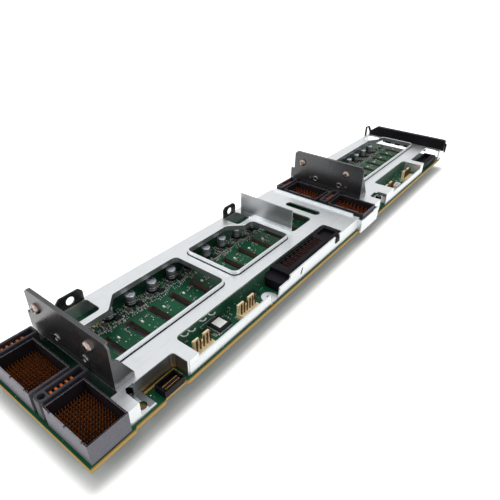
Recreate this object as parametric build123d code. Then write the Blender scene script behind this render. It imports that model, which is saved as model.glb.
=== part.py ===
from build123d import *
import os

# Drive backplane board for a row of small drives standing side by side, in millimetres.
# Places are given from the board's near front corner: X along the board, Y from the front edge to the
# back, Z up from what the board rests on. The last step moves the whole assembly so that its origin is
# at the middle of its underside.

# Circuit board
BOARD_WIDTH = 84.0
BOARD_THICKNESS = 3.2
EDGE_SETBACK = 1.0
HEADER_LAND_LENGTH = 23.5
EDGE_RECESS_START = 42.0
EDGE_RECESS_LENGTH = 15.0
EDGE_RECESS_DEPTH = 1.3

# Drives and the vent slots between them
DRIVE_COUNT = 24
DRIVE_PITCH = 16.4
FIRST_SLOT_X = 49.0
BOARD_PAST_LAST_SLOT = 13.8
SLOT_WIDTH = 5.0
SLOT_FRONT_Y = 27.7
SLOT_REAR_Y = 56.3
SLOT_CORNER = 1.0

# Drive receptacles under the board
RECEPTACLE_LENGTH = 42.6
RECEPTACLE_WIDTH = 5.2
RECEPTACLE_HEIGHT = 8.4
RECEPTACLE_BODY_HEIGHT = 6.0
GUIDE_POST_LENGTH = 4.4
CONTACT_SLOT_WIDTH = 1.8
CONTACT_SLOT_DEPTH = 4.4
SIGNAL_SLOT_LENGTH = 10.6
POWER_SLOT_LENGTH = 18.4
SLOT_END_WALL = 1.2

# Stiffener tray, one bent sheet
SHEET = 1.0
TRAY_HEIGHT = 10.0
TRAY_NEAR_X = 22.6
TRAY_FRONT_Y = 2.0
TRAY_REAR_SETBACK = 1.6
RIM_HEIGHT = 2.6
WINDOW_CORNER = 3.5
# Corners of the windows: three are stepped at the rear, round the ears or the far corner
FIRST_WINDOW = ((34.0, 28.3), (116.8, 28.3), (116.8, 69.0), (67.5, 69.0), (57.5, 59.5), (34.0, 59.5))
SECOND_WINDOW = ((127.0, 28.3), (185.0, 28.3), (185.0, 59.5), (176.0, 59.5), (167.0, 69.0), (127.0, 69.0))
THIRD_WINDOW = ((193.2, 29.3), (219.5, 29.3), (219.5, 75.5), (193.2, 75.5))
FOURTH_WINDOW = ((292.0, 29.3), (427.0, 29.3), (427.0, 62.5), (416.5, 62.5), (406.5, 69.0), (292.0, 69.0))
BAFFLE_X = 192.2
BAFFLE_HEIGHT = 17.0
BAFFLE_FRONT_Y = 30.5
BAFFLE_REAR_Y = 75.5
PAIR_LIP_HEIGHT = 1.6
OBLONG = (225.8, 232.8, 28.8, 58.2)
END_OPENING_LENGTH = 17.6
END_OPENING_SETBACK = 2.6
END_OPENINGS = ((4.6, 15.5), (64.5, 79.0))
FAR_CORNER_LENGTH = 4.2
MID_LIP_Y = (7.0, 80.0)
MID_STRIP_LOW = -2.4
MID_STRIP_HIGH = 8.4
UPSTAND_LENGTH = 43.0
UPSTAND_MIDDLE_Y = 46.3
COMB_HEIGHT = 5.2
COMB_Y = (16.0, 64.0)

# Cut-outs of the tray along its front: start, end and how far back each goes; the last ends at the far corner
FIRST_POCKET = (27.6, 59.5, 13.6)
SECOND_POCKET = (66.0, 217.0, 18.7)
THIRD_POCKET = (283.0, 296.0, 12.0)
FOURTH_POCKET = (311.0, 379.0, 20.4)
LAST_POCKET_X = 386.0
LAST_POCKET_REAR_Y = 15.5
POCKET_CORNER = 3.0
LOW_FLANGE_HEIGHT = 7.0
FOURTH_FLANGE_HEIGHT = 6.0
LATCH_FLANGE_HEIGHT = 4.5
LOW_FLANGE_END_X = 148.0
FLANGE_HOLE_X = 161.5
FLANGE_HOLE_HEIGHT = 6.0
FIRST_WALL_START_X = 34.0
FIRST_CORNER_END_X = 29.6
MID_FOOT_REAR_Y = 15.4

# Ear tabs lanced up from the tray
EARS = ((48.6, 16.4), (184.8, 13.6))
EAR_HEIGHT = 8.4
EAR_CORNER = 2.2
EAR_HOLE_RADIUS = 2.6
EAR_HOLE_ABOVE_TRAY = 3.8
EAR_CUTOUT_ROOM = 0.6
EAR_CUTOUT_FRONT_Y = 66.5
EAR_SETBACK = 2.0

# Feet that carry the tray on the board
CHASSIS_FOOT_X = 32.4
CHASSIS_FOOT_Y = 6.6
CHASSIS_FOOT_REACH = 5.1
NEAR_FOOT_WIDTH = 6.0
CHASSIS_HOLE_RADIUS = 2.1
FOOT_HOLE_RADIUS = 2.65
PAD_FOOT_X = 132.2
PAD_FOOT_Y = 6.6
PAD_FOOT_RADIUS = 4.8
PAD_HOLE_RADIUS = 1.5
TRAY_SCREWS = ((33.5, 16.6), (303.6, 11.4))

# Upright brackets
BRACKET_SHEET = 1.2
BRACKET_BEHIND_PAIR = 5.0
BRACKET_FRONT_Y = 15.5
BRACKET_REAR_Y = 79.0
BRACKET_FOOT_REAR_Y = 82.2
BRACKET_HEIGHT = 26.6
BRACKET_STEP_HEIGHT = 11.0
BRACKET_TOP_RETURN = 2.2
GUSSET_HEIGHT = 16.8
GUSSET_DEPTH = 11.0
BRACKET_SCREW_Y = (30.0, 71.0)
BRACKET_SCREW_ABOVE_TRAY = 18.0
BRACKET_RIVET_Y = (35.2, 57.4)
BRACKET_RIVET_ABOVE_TRAY = 6.8
BRACKET_KEY_Y = (29.4, 63.2)
SCREW_RADIUS = 1.5
SCREW_HEAD_RADIUS = 2.9
SCREW_HEAD_HEIGHT = 1.9
SCREW_LENGTH = 6.0
RIVET_RADIUS = 1.5
RIVET_HEAD_RADIUS = 2.5
RIVET_HEAD_HEIGHT = 0.6

# Signal headers and power modules, in two pairs
NEAR_PAIR_X = 1.3
MID_PAIR_X = 246.6
HEADER_DEPTH = 20.4
HEADER_WIDTH = 30.6
HEADER_HEIGHT = 12.0
HEADER_WALL = 1.3
HEADER_FLOOR = 2.0
HEADER_FRONT_Y = 0.4
HEADER_PITCH = 41.4
PIN_PITCH = 2.0
PIN_ROWS = 8
PIN_HEIGHT = 6.4
PIN_ROOT_HEIGHT = 4.6
PIN_RIB = 0.7
FIT_CLEARANCE = 0.15
MODULE_LENGTH = 24.2
MODULE_WIDTH = 6.6
MODULE_HEIGHT = 12.6
MODULE_FRONT_Y = 32.6
MODULE_CAVITY_START = 5.4
MODULE_CAVITY_WIDTH = 3.8
MODULE_CAVITY_DEPTH = 7.0
MODULE_END_WALL = 1.2
GUIDE_HOLE_RADIUS = 1.7
GUIDE_HOLE_X = 2.7
GUIDE_HOLE_DEPTH = 9.0
POWER_CONTACTS = 5
POWER_CONTACT_PITCH = 2.6
POWER_CONTACT_HEIGHT = 5.2

# Capacitors along the rear
CAPACITOR_RADIUS = 3.15
CAPACITOR_HEIGHT = 7.7
CAPACITOR_BASE_SIDE = 6.6
CAPACITOR_BASE_HEIGHT = 1.0
CAPACITOR_Y = 67.2
CAPACITOR_FROM_DRIVE = 3.9
CAPACITOR_DRIVES = tuple(range(2, 13)) + tuple(range(15, 24))

# Small connectors and chips in the front pockets
PIN_HEADER_PITCH = 2.54
PIN_HEADER_FRONT_Y = 5.4
PIN_HEADER_WIDTH = 5.6
PIN_HEADER_BASE_HEIGHT = 3.2
PIN_HEADER_WALL_HEIGHT = 9.0
PIN_HEADER_WALL = 1.2
PIN_HEADER_NOTCH_FLOOR = 5.2
PIN_HEIGHT_ABOVE_BOARD = 10.2
PIN_FROM_FRONT = 2.7
PIN_SIDE = 0.7
FRONT_HEADERS = {
    "first_front_header": (69.8, 5),
    "second_front_header": (106.2, 6),
    "third_front_header": (312.4, 6),
    "fourth_front_header": (353.2, 6),
}
SOCKET_HEADER_X = 329.0
SOCKET_HEADER_LENGTH = 9.0
SOCKET_HEADER_WIDTH = 4.2
SOCKET_HEADER_HEIGHT = 4.6
POWER_CONNECTOR_X = 140.6
POWER_CONNECTOR_FAR_X = 216.6
POWER_CONNECTOR_FRONT_Y = 3.3
POWER_CONNECTOR_WIDTH = 15.0
POWER_CONNECTOR_HEIGHT = 9.2
POWER_CONNECTOR_NOSE = 3.4
POWER_CELLS = 9
POWER_CELL_PITCH = 4.75
POWER_CELL_START = 157.6
POWER_CELL_WIDTH = 3.0
POWER_CELL_LENGTH = 5.6
POWER_CELL_DEPTH = 6.0
POWER_CELL_Y = 12.1
POWER_LATCH = (206.5, 211.5)
POWER_LATCH_FRONT_Y = 1.4
POWER_LATCH_LOW = 4.9
MEZZANINE_X = 42.2
MEZZANINE_LENGTH = 12.6
MEZZANINE_FRONT_Y = 1.2
MEZZANINE_WIDTH = 7.4
MEZZANINE_HEIGHT = 4.2
MEZZANINE_TONGUE = 1.6
MEZZANINE_TONGUE_Y = 4.0
MEZZANINE_CONTACTS = 13
FAR_CONNECTOR_SETBACK = 45.8
FAR_CONNECTOR_LENGTH = 36.0
FAR_CONNECTOR_FRONT_Y = 3.4
FAR_CONNECTOR_WIDTH = 11.8
FAR_CONNECTOR_HEIGHT = 4.8
CHIP_SIDE = 9.8
CHIP_HEIGHT = 1.6
CHIP_X = 91.0
CHIP_Y = 9.9
SMALL_CHIPS = ((84.5, 13.6, 4.0, 5.0), (126.0, 13.4, 6.0, 5.0), (340.5, 11.4, 5.0, 5.0),
               (332.0, 14.6, 5.0, 3.9))

# Black bar clipped over the tray's far end
BAR_THICKNESS = 4.6
BAR_HEIGHT = 9.6
BAR_CORNER = 5.0
BAR_GRIP = 5.0
BAR_BELOW_TRAY = 1.3
BAR_FRONT_Y = -1.0
BAR_REAR_SETBACK = 2.2
BAR_CLEARANCE = 0.2
BAR_CLIP_PLACES = (34.0, 44.0, 54.0)
BAR_CLIP_WIDTH = 6.0
BAR_CLIP_REACH = 2.4
HOOK_REACH = 3.0
HOOK_SHEET = 1.2
HOOK_WIDTH = 3.0
HOOK_BEND = 1.6

# Places worked out from the sizes above
board_bottom = RECEPTACLE_HEIGHT
board_top = board_bottom + BOARD_THICKNESS
tray_top = board_top + TRAY_HEIGHT
tray_under = tray_top - SHEET
slot_middle_y = (SLOT_FRONT_Y + SLOT_REAR_Y) / 2
board_length = FIRST_SLOT_X + DRIVE_PITCH * (DRIVE_COUNT - 1) + BOARD_PAST_LAST_SLOT
tray_far_x = board_length - BAR_THICKNESS - BAR_CLEARANCE
tray_rear_y = BOARD_WIDTH - TRAY_REAR_SETBACK
ear_y = tray_rear_y - EAR_SETBACK
far_corner_x = tray_far_x - FAR_CORNER_LENGTH
near_bracket_x = NEAR_PAIR_X + HEADER_DEPTH + BRACKET_BEHIND_PAIR
mid_bracket_x = MID_PAIR_X + HEADER_DEPTH + BRACKET_BEHIND_PAIR
mid_land_start = MID_PAIR_X - 2.6
mid_land_end = mid_bracket_x
mid_gap_x = mid_land_start - 0.5
end_opening = (tray_far_x - END_OPENING_SETBACK - END_OPENING_LENGTH, tray_far_x - END_OPENING_SETBACK)


def block(x0, x1, y0, y1, z0, z1):
    """A box between two corners."""
    return Pos((x0 + x1) / 2, (y0 + y1) / 2, (z0 + z1) / 2) * Box(x1 - x0, y1 - y0, z1 - z0)


def post(x, y, z0, z1, radius):
    """An upright cylinder."""
    return Pos(x, y, (z0 + z1) / 2) * Cylinder(radius, z1 - z0)


def rod(x0, x1, y, z, radius):
    """A cylinder that lies along X."""
    return Pos((x0 + x1) / 2, y, z) * Rot(0, 90, 0) * Cylinder(radius, x1 - x0)


def rounded_outline(points, radius):
    """A flat face with every corner rounded."""
    face = make_face(Polyline(*points, close=True))
    return fillet(face.vertices(), radius)


def rectangle_between(x0, x1, y0, y1, radius):
    """A rectangle with rounded corners, between two corners."""
    return Pos((x0 + x1) / 2, (y0 + y1) / 2) * RectangleRounded(x1 - x0, y1 - y0, radius)


def raised(face, z0, z1):
    """The flat face made a solid from one height to another."""
    return Pos(0, 0, z0) * extrude(face, amount=z1 - z0)


def slot_places():
    """Middle of each vent slot, leaving out those that the mid connectors cover."""
    places = [FIRST_SLOT_X + DRIVE_PITCH * index for index in range(DRIVE_COUNT)]
    covered = (MID_PAIR_X - SLOT_WIDTH, MID_PAIR_X + MODULE_LENGTH + SLOT_WIDTH / 2)
    return [x for x in places if not covered[0] < x < covered[1]]


def drive_places():
    """Middle of each drive, half a pitch before its vent slot."""
    return [FIRST_SLOT_X + DRIVE_PITCH * (index - 0.5) for index in range(DRIVE_COUNT)]


def capacitor_places():
    """Middle of each capacitor, one behind each drive that has an open window over it."""
    drives = drive_places()
    return [drives[number - 1] + CAPACITOR_FROM_DRIVE for number in CAPACITOR_DRIVES]


def circuit_board():
    """The board: its front edge is set back between the lands that carry the headers."""
    outline = [
        (0, 0),
        (HEADER_LAND_LENGTH, 0),
        (HEADER_LAND_LENGTH + EDGE_SETBACK, EDGE_SETBACK),
        (EDGE_RECESS_START, EDGE_SETBACK),
        (EDGE_RECESS_START + EDGE_RECESS_DEPTH, EDGE_SETBACK + EDGE_RECESS_DEPTH),
        (EDGE_RECESS_START + EDGE_RECESS_LENGTH - EDGE_RECESS_DEPTH, EDGE_SETBACK + EDGE_RECESS_DEPTH),
        (EDGE_RECESS_START + EDGE_RECESS_LENGTH, EDGE_SETBACK),
        (mid_land_start - EDGE_SETBACK, EDGE_SETBACK),
        (mid_land_start, 0),
        (mid_land_end, 0),
        (mid_land_end + EDGE_SETBACK, EDGE_SETBACK),
        (board_length, EDGE_SETBACK),
        (board_length, BOARD_WIDTH),
        (0, BOARD_WIDTH),
    ]
    face = make_face(Polyline(*outline, close=True))
    for x in slot_places():
        half = SLOT_WIDTH / 2
        face -= rectangle_between(x - half, x + half, SLOT_FRONT_Y, SLOT_REAR_Y, SLOT_CORNER)
    face -= Pos(CHASSIS_FOOT_X, CHASSIS_FOOT_Y) * Circle(CHASSIS_HOLE_RADIUS)
    return raised(face, board_bottom, board_top)


def drive_receptacle(x):
    """A receptacle under the board with a power slot, a signal slot and a taller guide post at each end."""
    middle_y = slot_middle_y
    front = middle_y - RECEPTACLE_LENGTH / 2
    rear = middle_y + RECEPTACLE_LENGTH / 2
    half = RECEPTACLE_WIDTH / 2
    low = board_bottom - RECEPTACLE_BODY_HEIGHT
    body = block(x - half, x + half, front, rear, low, board_bottom)
    for y0 in (front, rear - GUIDE_POST_LENGTH):
        guide = block(x - half, x + half, y0, y0 + GUIDE_POST_LENGTH, 0, board_bottom)
        tips = guide.edges().filter_by(Axis.Y).group_by(Axis.Z)[0]
        body += chamfer(tips, RECEPTACLE_WIDTH / 5)
    first = front + GUIDE_POST_LENGTH + SLOT_END_WALL
    second = first + SIGNAL_SLOT_LENGTH + SLOT_END_WALL
    gap = CONTACT_SLOT_WIDTH / 2
    for start, length in ((first, SIGNAL_SLOT_LENGTH), (second, POWER_SLOT_LENGTH)):
        body -= block(x - gap, x + gap, start, start + length, low, low + CONTACT_SLOT_DEPTH)
    return body


def pockets():
    """The cut-outs along the tray's front: start, end and how far back each goes."""
    return (FIRST_POCKET, SECOND_POCKET, THIRD_POCKET, FOURTH_POCKET,
            (LAST_POCKET_X, far_corner_x, LAST_POCKET_REAR_Y))


def tray_plate():
    """The tray's flat top with its windows, pockets, ear cut-outs and end openings."""
    foot_x = near_bracket_x
    outline = [
        (TRAY_NEAR_X, TRAY_FRONT_Y),
        (tray_far_x, TRAY_FRONT_Y),
        (tray_far_x, tray_rear_y),
        (foot_x, tray_rear_y),
        (foot_x, BRACKET_FRONT_Y - 1.5),
        (TRAY_NEAR_X, BRACKET_FRONT_Y - 1.5),
    ]
    face = make_face(Polyline(*outline, close=True))
    for points in (FIRST_WINDOW, SECOND_WINDOW, THIRD_WINDOW, FOURTH_WINDOW):
        face -= rounded_outline(points, WINDOW_CORNER)
    for x, width in EARS:
        half = width / 2 + EAR_CUTOUT_ROOM
        face -= rectangle_between(x - half, x + half, EAR_CUTOUT_FRONT_Y, ear_y, 2.5)
    for x0, x1, rear in pockets():
        face -= rectangle_between(x0, x1, TRAY_FRONT_Y - 8, rear, POCKET_CORNER)
    face -= rectangle_between(*OBLONG, 3.0)
    for y0, y1 in END_OPENINGS:
        face -= rectangle_between(*end_opening, y0, y1, 2.0)
    face -= rectangle_between(mid_gap_x, mid_bracket_x, TRAY_FRONT_Y - 5, tray_rear_y + 5, 0.2)
    face += rectangle_between(far_corner_x, tray_far_x, TRAY_FRONT_Y - SHEET, TRAY_FRONT_Y + 2, 0.4)
    return raised(face, tray_under, tray_top)


def front_flanges():
    """The front flange's stretches: start, end and highest edge above the board."""
    pad = (PAD_FOOT_X - PAD_FOOT_RADIUS, PAD_FOOT_X + PAD_FOOT_RADIUS)
    latch = (POWER_LATCH[0] - 0.5, POWER_LATCH[1] + 0.5)
    full = TRAY_HEIGHT
    return (
        (FIRST_POCKET[1], SECOND_POCKET[0], full),
        (SECOND_POCKET[0], pad[0], LOW_FLANGE_HEIGHT),
        (pad[1], LOW_FLANGE_END_X, LOW_FLANGE_HEIGHT),
        (LOW_FLANGE_END_X, latch[0], full),
        (latch[0], latch[1], LATCH_FLANGE_HEIGHT),
        (latch[1], mid_gap_x, full),
        (mid_bracket_x, THIRD_POCKET[0], full),
        (THIRD_POCKET[1], FOURTH_POCKET[0], full),
        (FOURTH_POCKET[0], FOURTH_POCKET[1], FOURTH_FLANGE_HEIGHT),
        (FOURTH_POCKET[1], LAST_POCKET_X, full),
    )


def tray_flanges():
    """The front flange in its stretches, the rear flange and the jogged strip round the mid header."""
    front = TRAY_FRONT_Y
    pieces = [block(x0, x1, front, front + SHEET, board_top, board_top + high)
              for x0, x1, high in front_flanges()]
    pieces.append(block(far_corner_x, tray_far_x, front - SHEET, front, board_top, tray_top))
    for x0, x1 in ((near_bracket_x, mid_gap_x), (mid_bracket_x, end_opening[0]), (far_corner_x, tray_far_x)):
        pieces.append(block(x0, x1, tray_rear_y - SHEET, tray_rear_y, board_top, tray_top))
    low = board_top + MID_STRIP_LOW
    high = board_top + MID_STRIP_HIGH
    start = mid_gap_x - SHEET
    end = mid_bracket_x + SHEET
    strip = block(start, end, -SHEET, 0, low, high)
    strip = fillet(strip.edges().filter_by(Axis.Y), 1.2)
    pieces.append(strip)
    pieces.append(block(start, start + SHEET, -SHEET, front + SHEET, board_top, high))
    pieces.append(block(end - SHEET, end, -SHEET, front + SHEET, board_top, high))
    return pieces


def first_pocket_wall():
    """The sheet bent down round the first pocket: its walls, the near corner and the foot under the screw."""
    x0, x1, rear = FIRST_POCKET
    front = TRAY_FRONT_Y
    foot_end = CHASSIS_FOOT_X + CHASSIS_FOOT_REACH
    foot_high = board_top + SHEET
    opening = rectangle_between(x0, x1, front - 8, rear, POCKET_CORNER)
    ring = opening - offset(opening, amount=-SHEET)
    side = rectangle_between(FIRST_WALL_START_X, x1 + 1, front + SHEET / 2, rear + 1, 0.2)
    corner = rectangle_between(x0 - 1, FIRST_CORNER_END_X, front + SHEET / 2, rear + 1, 0.2)
    wall = raised(ring & side, board_top, tray_top)
    bends = [
        raised(ring & corner, board_top, tray_top),
        block(TRAY_NEAR_X, x0, front, front + SHEET, board_top, tray_under),
        block(x0, x0 + SHEET, front, front + SHEET, board_top, tray_top),
        block(x0, foot_end, rear - SHEET, rear + NEAR_FOOT_WIDTH, board_top, foot_high),
        block(x0, foot_end, front, front + SHEET, board_top, foot_high),
    ]
    wall = wall.fuse(*bends).clean()
    x, y = TRAY_SCREWS[0]
    return wall - post(x, y, board_top - 1, foot_high + 1, SCREW_RADIUS)


def chassis_foot():
    """The foot on the board under the chassis screw, up to the walls that stand on it."""
    foot = block(FIRST_POCKET[0] + SHEET, CHASSIS_FOOT_X + CHASSIS_FOOT_REACH, TRAY_FRONT_Y + SHEET,
                 FIRST_POCKET[2] - SHEET, board_top, board_top + SHEET)
    corner = foot.edges().filter_by(Axis.Z).group_by(Axis.X)[0].sort_by(Axis.Y)[-1]
    foot = fillet(corner, POCKET_CORNER - SHEET)
    return foot - post(CHASSIS_FOOT_X, CHASSIS_FOOT_Y, board_top - 1, tray_top, FOOT_HOLE_RADIUS)


def tray_feet():
    """The sheet's two feet further along that lie on the board: a round pad and the far screw's."""
    front = TRAY_FRONT_Y
    low = board_top
    high = board_top + SHEET
    neck = block(PAD_FOOT_X - PAD_FOOT_RADIUS, PAD_FOOT_X + PAD_FOOT_RADIUS, front, PAD_FOOT_Y, low, high)
    pad = neck + post(PAD_FOOT_X, PAD_FOOT_Y, low, high, PAD_FOOT_RADIUS)
    middle = block(THIRD_POCKET[1] + 1, FOURTH_POCKET[0] - 2, front, MID_FOOT_REAR_Y, low, high)
    return [pad, middle]


def tray_walls():
    """The wall at the fourth pocket's far end, the far end's comb and the upstands behind the brackets."""
    far = FOURTH_POCKET[1]
    rear = FOURTH_POCKET[2] - POCKET_CORNER
    pieces = [block(far - SHEET, far, TRAY_FRONT_Y, rear, board_top + 1.5, tray_top)]
    end = tray_far_x
    pieces.append(block(end - SHEET, end, COMB_Y[0], COMB_Y[1], tray_top - COMB_HEIGHT, tray_top))
    for x in (near_bracket_x, mid_bracket_x):
        start = x + BRACKET_SHEET
        half = UPSTAND_LENGTH / 2
        pieces.append(block(start, start + SHEET, UPSTAND_MIDDLE_Y - half, UPSTAND_MIDDLE_Y + half,
                            tray_under, tray_top + BRACKET_STEP_HEIGHT))
    return pieces


def ear_tab(x, width):
    """A tab bent up at the rear of its cut-out, with clipped corners and one hole."""
    half = width / 2
    top = tray_top + EAR_HEIGHT
    outline = Plane.XZ * make_face(Polyline(
        (x - half, tray_top), (x + half, tray_top), (x + half, top - EAR_CORNER),
        (x + half - EAR_CORNER, top), (x - half + EAR_CORNER, top), (x - half, top - EAR_CORNER),
        close=True))
    tab = Pos(0, ear_y + SHEET, 0) * extrude(outline, amount=SHEET)
    hole = Pos(x, ear_y + SHEET / 2, tray_top + EAR_HOLE_ABOVE_TRAY) * Rot(90, 0, 0) * Cylinder(
        EAR_HOLE_RADIUS, SHEET * 3)
    return tab - hole


def window_rims():
    """Upturned rims round three windows; the baffle was lanced up from the other one."""
    rims = []
    for points in (FIRST_WINDOW, SECOND_WINDOW, FOURTH_WINDOW):
        opening = rounded_outline(points, WINDOW_CORNER)
        ring = offset(opening, amount=SHEET) - opening
        rims.append(raised(ring, tray_under, tray_top + RIM_HEIGHT))
    return rims


def stiffener_tray():
    """The tray, one bent sheet. Its ears, the first pocket's wall and the foot with the chassis hole are nodes
    of their own that meet the sheet where it bends, so that each collides as it is shaped."""
    tray = tray_plate()
    extras = tray_flanges() + tray_feet() + tray_walls() + window_rims()
    extras.append(block(BAFFLE_X, BAFFLE_X + SHEET, BAFFLE_FRONT_Y, BAFFLE_REAR_Y,
                        tray_under, tray_top + BAFFLE_HEIGHT))
    extras.append(block(mid_gap_x - SHEET, mid_gap_x, MID_LIP_Y[0], MID_LIP_Y[1],
                        tray_under, tray_top + PAIR_LIP_HEIGHT))
    tray = tray.fuse(*extras)
    tray = tray.clean()
    low = board_top - 1
    high = board_top + SHEET + 1
    tray -= post(PAD_FOOT_X, PAD_FOOT_Y, low, high, PAD_HOLE_RADIUS)
    tray -= flange_hole()
    for y in BAR_CLIP_PLACES:
        tray -= block(tray_far_x - 2, tray_far_x + 1, y, y + BAR_CLIP_WIDTH, tray_top - COMB_HEIGHT - 1,
                      tray_top - 1.6)
    for x in (near_bracket_x, mid_bracket_x):
        for y in BRACKET_RIVET_Y:
            tray -= rod(x, x + 4, y, tray_top + BRACKET_RIVET_ABOVE_TRAY, RIVET_RADIUS)
    x, y = TRAY_SCREWS[1]
    return tray - post(x, y, low, high, SCREW_RADIUS)


def flange_hole():
    """The slanted slot through the front flange."""
    slot = extrude(Plane.XZ * SlotOverall(5.0, 1.6, rotation=70), amount=4)
    return Pos(FLANGE_HOLE_X, TRAY_FRONT_Y + 2, board_top + FLANGE_HOLE_HEIGHT) * slot


def bracket(x):
    """An upright plate with a folded top edge and a gusset folded back along its front edge."""
    top = BRACKET_HEIGHT
    plate = [
        (BRACKET_FRONT_Y, 0), (BRACKET_FOOT_REAR_Y, 0), (BRACKET_FOOT_REAR_Y, BRACKET_STEP_HEIGHT),
        (BRACKET_REAR_Y, BRACKET_STEP_HEIGHT), (BRACKET_REAR_Y, top - 2), (BRACKET_REAR_Y - 2, top),
        (BRACKET_FRONT_Y + 2, top), (BRACKET_FRONT_Y, top - 2),
    ]
    sheet = extrude(Plane.YZ * make_face(Polyline(*plate, close=True)), amount=BRACKET_SHEET)
    sheet += block(0, BRACKET_TOP_RETURN, BRACKET_FRONT_Y + 2, BRACKET_REAR_Y - 2, top - BRACKET_SHEET, top)
    gusset = [(0, 0), (GUSSET_DEPTH, 0), (GUSSET_DEPTH, 2.6), (GUSSET_DEPTH * 0.42, GUSSET_HEIGHT - 2.4),
              (2.6, GUSSET_HEIGHT), (0, GUSSET_HEIGHT)]
    side = extrude(Plane.XZ * make_face(Polyline(*gusset, close=True)), amount=-BRACKET_SHEET)
    sheet += Pos(0, BRACKET_FRONT_Y, 0) * side
    for y in BRACKET_SCREW_Y:
        sheet -= rod(-1, BRACKET_SHEET + 1, y, BRACKET_SCREW_ABOVE_TRAY, SCREW_RADIUS)
    for y in BRACKET_RIVET_Y:
        sheet -= rod(-1, BRACKET_SHEET + 1, y, BRACKET_RIVET_ABOVE_TRAY, RIVET_RADIUS)
    for y in BRACKET_KEY_Y:
        sheet -= block(-1, BRACKET_SHEET + 1, y - 1.3, y + 1.3, BRACKET_RIVET_ABOVE_TRAY - 0.6,
                       BRACKET_RIVET_ABOVE_TRAY + 0.6)
    return Pos(x, 0, tray_top) * sheet


def bracket_screw(x, y):
    """A cross-head screw through a bracket plate, head on the near side."""
    z = tray_top + BRACKET_SCREW_ABOVE_TRAY
    head = rod(x - SCREW_HEAD_HEIGHT, x, y, z, SCREW_HEAD_RADIUS)
    head = fillet(head.edges().group_by(Axis.X)[0], SCREW_HEAD_HEIGHT / 3)
    reach = SCREW_HEAD_RADIUS * 0.6
    low = x - SCREW_HEAD_HEIGHT
    head -= block(low, low + 0.9, y - reach, y + reach, z - 0.4, z + 0.4)
    head -= block(low, low + 0.9, y - 0.4, y + 0.4, z - reach, z + reach)
    return head + rod(x, x + SCREW_LENGTH, y, z, SCREW_RADIUS)


def bracket_rivet(x, y):
    """A rivet through a bracket plate and the tray's upstand behind it."""
    z = tray_top + BRACKET_RIVET_ABOVE_TRAY
    head = rod(x - RIVET_HEAD_HEIGHT, x, y, z, RIVET_HEAD_RADIUS)
    head = fillet(head.edges().group_by(Axis.X)[0], RIVET_HEAD_HEIGHT / 2)
    back = x + BRACKET_SHEET + SHEET
    upset = rod(back, back + RIVET_HEAD_HEIGHT, y, z, RIVET_HEAD_RADIUS)
    return head + rod(x, back, y, z, RIVET_RADIUS) + upset


def tray_screw(x, y):
    """A pan-head screw that holds a foot of the tray on the board."""
    z = board_top + SHEET
    head = post(x, y, z, z + 1.6, 2.5)
    head = fillet(head.edges().group_by(Axis.Z)[-1], 0.7)
    return head + post(x, y, board_top, z, SCREW_RADIUS)


def signal_header(x, y):
    """An open-topped box with a floor; the near wall has three small polarising notches."""
    z = board_top
    shell = block(x, x + HEADER_DEPTH, y, y + HEADER_WIDTH, z, z + HEADER_HEIGHT)
    wall = HEADER_WALL
    shell -= block(x + wall, x + HEADER_DEPTH - wall, y + wall, y + HEADER_WIDTH - wall,
                   z + HEADER_FLOOR, z + HEADER_HEIGHT + 1)
    for share in (0.1, 0.48, 0.84):
        notch_y = HEADER_WIDTH * share
        shell -= block(x - 1, x + wall + 0.1, y + notch_y, y + notch_y + 1.2, z + HEADER_HEIGHT - 0.9,
                       z + HEADER_HEIGHT + 1)
    return shell


def header_pins(x, y):
    """The contact field: a block on the header's floor with one rib for each row of pins."""
    inset = HEADER_WALL + FIT_CLEARANCE
    z = board_top + HEADER_FLOOR
    field = block(x + inset, x + HEADER_DEPTH - inset, y + inset, y + HEADER_WIDTH - inset,
                  z, board_top + PIN_ROOT_HEIGHT)
    first = x + HEADER_DEPTH / 2 - PIN_PITCH * (PIN_ROWS - 1) / 2
    for row in range(PIN_ROWS):
        middle = first + PIN_PITCH * row
        field += block(middle - PIN_RIB / 2, middle + PIN_RIB / 2, y + inset + 0.6,
                       y + HEADER_WIDTH - inset - 0.6, board_top + PIN_ROOT_HEIGHT, board_top + PIN_HEIGHT)
    return field


def power_module(x, y):
    """A narrow block with a guide hole at its near end and a long cavity for the power contacts."""
    z = board_top
    top = z + MODULE_HEIGHT
    body = block(x, x + MODULE_LENGTH, y, y + MODULE_WIDTH, z, top)
    body = chamfer(body.edges().filter_by(Axis.Z).group_by(Axis.X)[0], 1.2)
    middle = y + MODULE_WIDTH / 2
    body -= post(x + GUIDE_HOLE_X, middle, top - GUIDE_HOLE_DEPTH, top + 1, GUIDE_HOLE_RADIUS)
    half = MODULE_CAVITY_WIDTH / 2
    body -= block(x + MODULE_CAVITY_START, x + MODULE_LENGTH - MODULE_END_WALL, middle - half, middle + half,
                  top - MODULE_CAVITY_DEPTH, top + 1)
    return body


def power_contacts(x, y):
    """Five contact blades that stand in a module's cavity."""
    middle = y + MODULE_WIDTH / 2
    low = board_top + MODULE_HEIGHT - MODULE_CAVITY_DEPTH
    first = x + MODULE_CAVITY_START + 1.6
    half = MODULE_CAVITY_WIDTH / 2 - 0.6
    blades = []
    for index in range(POWER_CONTACTS):
        place = first + POWER_CONTACT_PITCH * index
        blades.append(block(place - 0.55, place + 0.55, middle - half, middle + half,
                            low, low + POWER_CONTACT_HEIGHT))
    return blades


def capacitor_can(x):
    """An aluminium can on its base."""
    low = board_top + CAPACITOR_BASE_HEIGHT
    can = post(x, CAPACITOR_Y, low, board_top + CAPACITOR_HEIGHT, CAPACITOR_RADIUS)
    return chamfer(can.edges().group_by(Axis.Z)[-1], 0.5)


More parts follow.
